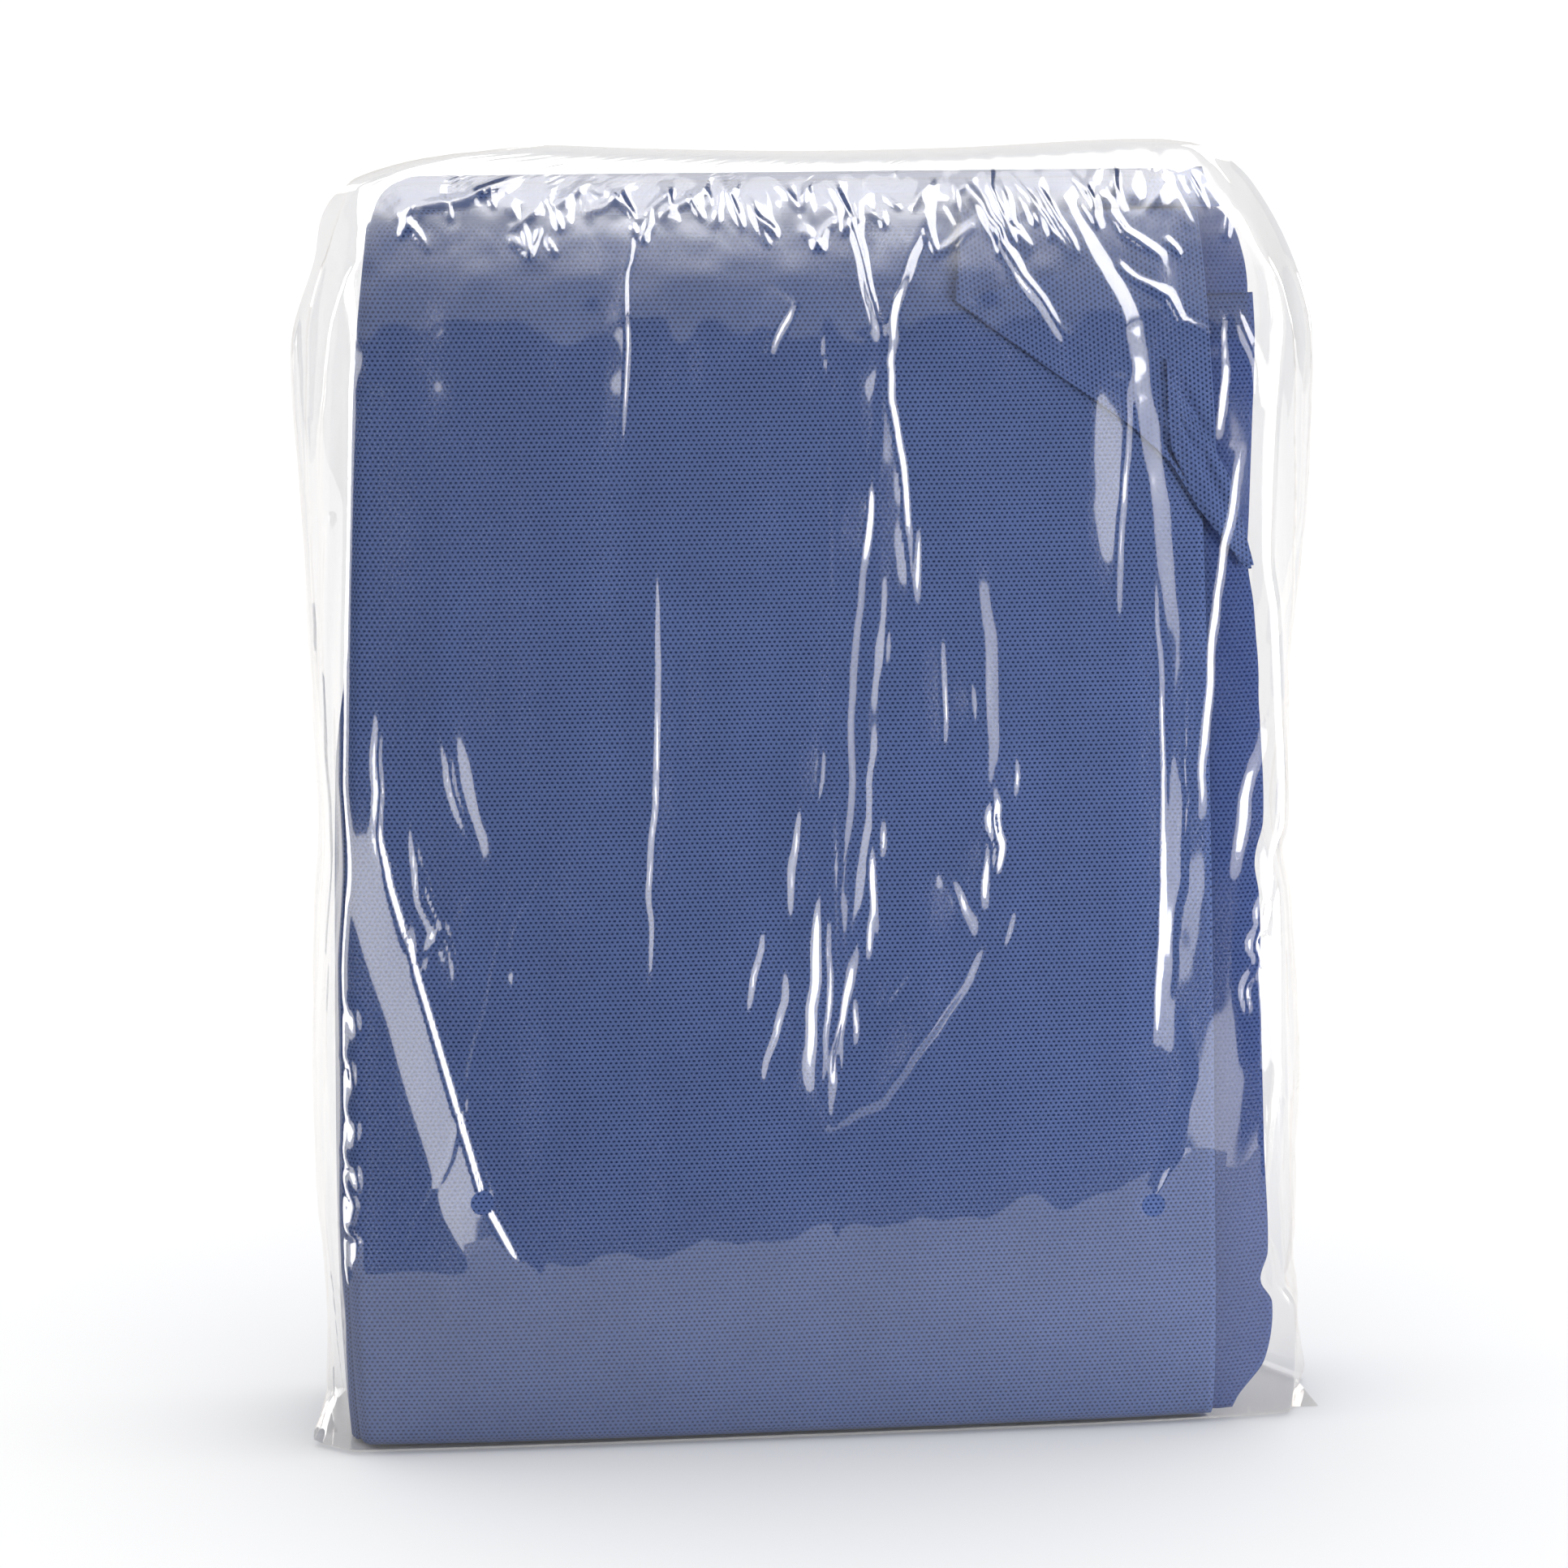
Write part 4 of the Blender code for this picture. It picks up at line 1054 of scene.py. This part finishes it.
def film_half(name, side, crease_sets, step_x, step_z, top_step, strength):
    """One face of the bag from weld to weld, with its half of the bag's bottom and top. Its rows
    lie closer at the vents, beside the long crease and at the top."""
    out = -1.0 if side == "front" else 1.0
    rows = ((0.0, 66.0, step_z), (66.0, 94.0, min(step_z, 1.1)), (94.0, 215.0, min(step_z, 2.0)))
    rows += ((215.0, 300.0, step_z), (300.0, 398.0, top_step))
    z = np.concatenate([np.arange(*row) for row in rows] + [np.linspace(398.0, BAG_TOP, 13)])
    left, right = read(BAG_SEAMS, "left", z), read(BAG_SEAMS, "right", z)
    left_y, right_y = read(BAG_SEAMS, "left_depth", z), read(BAG_SEAMS, "right_depth", z)
    face = read(BAG_FACES, side, z)
    corner_left = np.maximum(read(LEFT_FOLD, "x", z) - 3.0, left + 2.5)
    beside_cloth = read(UNDER_EDGE, "right", np.clip(z, 30.0, 350.0)) + 6.5
    high_up = np.clip((z - 350.0) / (BAG_TOP - 350.0), 0.0, 1.0)
    at_top = np.minimum(146.5 - 0.35 * (z - 350.0), right - 4.0)
    corner_right = np.minimum(beside_cloth, right - 3.0) * (1 - high_up) + at_top * high_up
    fade = 1.0 - smooth_step(z, 375.0, 405.5)
    across = np.linspace(0.0, 1.0, int(FACE_WIDE / step_x))
    start = corner_left + BAG_ROUNDING[side][0]
    end = corner_right - BAG_ROUNDING[side][1]
    middle_x = start[:, None] + (end - start)[:, None] * across[None, :]

    def face_depth(x):
        at_left = 0.25 + 0.3 * (1.0 - smooth_step(z, 20.0, 70.0))[:, None]
        at_right = 1.0 - 0.75 * smooth_step(z, 165.0, 235.0)[:, None]
        taut = np.where(x < FACE_MIDDLE, at_left, at_right)
        return face[:, None] - out * FILM_GAP - out * fall_at_edge(x) * fade[:, None] * taut

    def on_film(x):
        return x, face_depth(x[:, None])[:, 0]

    left_x, left_depth = bent_ear((left, left_y), on_film(corner_left), on_film(start))
    right_x, right_depth = bent_ear((right, right_y), on_film(corner_right), on_film(end))
    x = np.concatenate([left_x, middle_x, right_x[:, ::-1]], axis=1)
    y = np.concatenate([left_depth, face_depth(middle_x), right_depth[:, ::-1]], axis=1)
    height = np.broadcast_to(z[:, None], x.shape).copy()
    grid = np.stack([x, y, height], axis=-1)
    normal = np.cross(np.gradient(grid, axis=1), np.gradient(grid, axis=0)) * -out
    normal = normal / np.maximum(np.linalg.norm(normal, axis=-1, keepdims=True), 1e-9)
    from_weld = np.minimum(x - left[:, None], right[:, None] - x)
    ease = smooth_step(from_weld, 0.0, 6.0) * smooth_step(BAG_TOP - height, 0.0, 5.0)
    ease = ease * smooth_step(height, -0.5, 5.0)
    beside = smooth_step(start[:, None] + 1.0 - x, 0.0, 3.0)
    beside = beside + smooth_step(x - end[:, None] + 1.0, 0.0, 3.0)
    beside = beside * smooth_step(from_weld, 0.0, 2.0) * (1.0 - smooth_step(height, 392.0, 408.0))
    for weld_x, weld_y, folds in ((left, left_y, FOLDS_LEFT), (right, right_y, FOLDS_RIGHT)):
        near_weld = (x < FACE_MIDDLE) if folds is FOLDS_LEFT else (x > FACE_MIDDLE)
        inwards = np.hypot(x - weld_x[:, None], y - weld_y[:, None])
        fold = 0.5 * uneven(inwards, height, 13.0, 40.0, FILM_SEED + 7)
        for wide, high, *route in folds:
            gap, share = away_from(inwards, height, route)
            fold = fold + one_crease("ridge", wide, high, gap, share)
        grid[..., 0] += np.sign(x) * near_weld * beside * fold
    lift = crumple(x, height, crease_sets, strength)
    if side == "front":
        lift = lift + pulled_corner(x, height)
    grid = grid + normal * (lift * ease)[..., None]
    wave = read(BAG_TOP_WAVE, "rise", x[-1])
    grid[..., 2] += wave[None, :] * smooth_step(height, 360.0, BAG_TOP)
    grid[..., 2] = np.maximum(grid[..., 2], LOWEST_FILM)
    # The bag's bottom runs in under the pack, to the line where both faces meet.
    under = np.repeat(grid[:1], 3, axis=0)
    shares = np.array((0.0, 0.28, 0.6))[:, None]
    under[..., 1] = left_y[0] + (under[..., 1] - left_y[0]) * shares
    under[..., 2] = LOWEST_FILM
    grid = np.concatenate([under, grid], axis=0)
    steps = np.linalg.norm(np.diff(grid[len(grid) // 2], axis=0), axis=1)
    run = np.concatenate([[0.0], np.cumsum(steps)])
    cut = np.stack([np.broadcast_to(run[None, :], grid.shape[:2]), grid[..., 2]], axis=-1)
    return piece_from_grid(name, grid, cut, clear_film, flip=side == "back")


# The vents: two round holes that the bag maker punches through both faces near the bottom.
VENTS = ((-113.0, 84.0), (102.8, 75.3))
VENT_RADIUS = 3.85


def punched(film):
    """Cuts the vents through a face of the bag, and draws their rims round."""
    edit = bmesh.new()
    edit.from_mesh(film.data)
    for x, z in VENTS:
        def away(place):
            return math.hypot(place.x / MM - x, place.z / MM - z)

        cut_out = {face for face in edit.faces if away(face.calc_center_median()) < VENT_RADIUS}
        rim = {v for face in cut_out for v in face.verts if set(v.link_faces) - cut_out}
        bmesh.ops.delete(edit, geom=list(cut_out), context="FACES")
        for vertex in rim:
            share = VENT_RADIUS / max(away(vertex.co), 0.1)
            vertex.co.x = (x + (vertex.co.x / MM - x) * share) * MM
            vertex.co.z = (z + (vertex.co.z / MM - z) * share) * MM
    edit.to_mesh(film.data)
    edit.free()


FILM_MIRROR, FILM_MIRROR_AT_EDGE, FILM_HAZE = 0.052, 0.75, 0.03
FILM_WHITE = (1.0, 0.98, 0.955, 1.0)


def polythene():
    """Clear film: it mirrors a little, far more where it is seen edge on, and has a faint haze."""
    made = bpy.data.materials.new("clear film")
    made.use_nodes = True
    tree = made.node_tree
    tree.nodes.clear()
    facing = node(tree, "ShaderNodeLayerWeight").outputs["Facing"]
    edge_on = maths(tree, "POWER", facing, 4.0)
    mirror = maths(tree, "MULTIPLY_ADD", edge_on, FILM_MIRROR_AT_EDGE, FILM_MIRROR)
    shine = node(tree, "ShaderNodeBsdfAnisotropic", Color=FILM_WHITE, Roughness=0.025)
    clear = node(tree, "ShaderNodeBsdfTransparent", Color=(0.932, 0.930, 0.932, 1.0))
    haze = node(tree, "ShaderNodeBsdfAnisotropic", Color=FILM_WHITE, Roughness=0.24)
    body = node(tree, "ShaderNodeMixShader", i0=FILM_HAZE, i1=clear.outputs[0], i2=haze.outputs[0])
    mixed = node(tree, "ShaderNodeMixShader", i0=mirror, i1=body.outputs[0], i2=shine.outputs[0])
    node(tree, "ShaderNodeOutputMaterial", Surface=mixed.outputs[0])
    return made


clear_film = polythene()
gathered = short_creases(3, 27, 393.0, 409.0) + short_creases(4, 15, 386.0, 400.0)
creases = {"ridge": FRONT_RIDGES + gathered, "roll": FRONT_ROLLS, "lean": FRONT_LEANS}
steps = {"step_x": 0.75, "step_z": 3.2, "top_step": 1.15}
film_front = film_half("bag_front_film", "front", creases, **steps, strength=1.0)
BACK_RIDGES = (
    (1.8, 1.01, (20, 390), (28, 340), (16, 280), (22, 220)),
    (2.0, 1.12, (-60, 150), (-40, 110), (-12, 90)),
    (1.8, 1.01, (40, 120), (30, 70), (44, 30)),
    (1.8, 1.01, (-120, 260), (-112, 210), (-118, 170)),
)
BACK_ROLLS = (
    (4.0, 1.20, (-96, 380), (-84, 300), (-90, 200), (-78, 110)),
    (3.6, 1.08, (70, 360), (78, 270), (66, 180), (74, 90)),
    (3.0, 0.90, (10, 396), (4, 372), (-12, 340), (-8, 300)),
    (2.4, 0.90, (-66, 398), (-58, 370), (-64, 336)),
    (3.4, 1.00, (0, 150), (10, 110), (2, 60)),
)
BACK_LEANS = (
    (3.4, 0.92, (-30, 330), (-24, 250), (-34, 160)),
    (3.0, 0.81, (110, 320), (104, 230), (112, 140)),
    (2.2, 0.80, (52, 398), (48, 366), (56, 320)),
    (4.0, 1.20, (-110, 140), (-96, 90), (-104, 40)),
)
creases = {"ridge": BACK_RIDGES, "roll": BACK_ROLLS, "lean": BACK_LEANS}
steps = {"step_x": 1.2, "step_z": 2.4, "top_step": 1.8}
film_back = film_half("bag_back_film", "back", creases, **steps, strength=1.2)
under_front_film = ["front_panel_cloth", "under_panel_cloth", "sleeve_cloth"]
for film, cloths in ((film_front, under_front_film), (film_back, ["back_panel_cloth"])):
    punched(film)
    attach(film, "root")
    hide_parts("clear_bag")

for piece in (front, back, layers, under, sleeve, tail, shoulder, neck, film_front, film_back):
    pack.objects.link(piece)
bpy.context.view_layer.update()
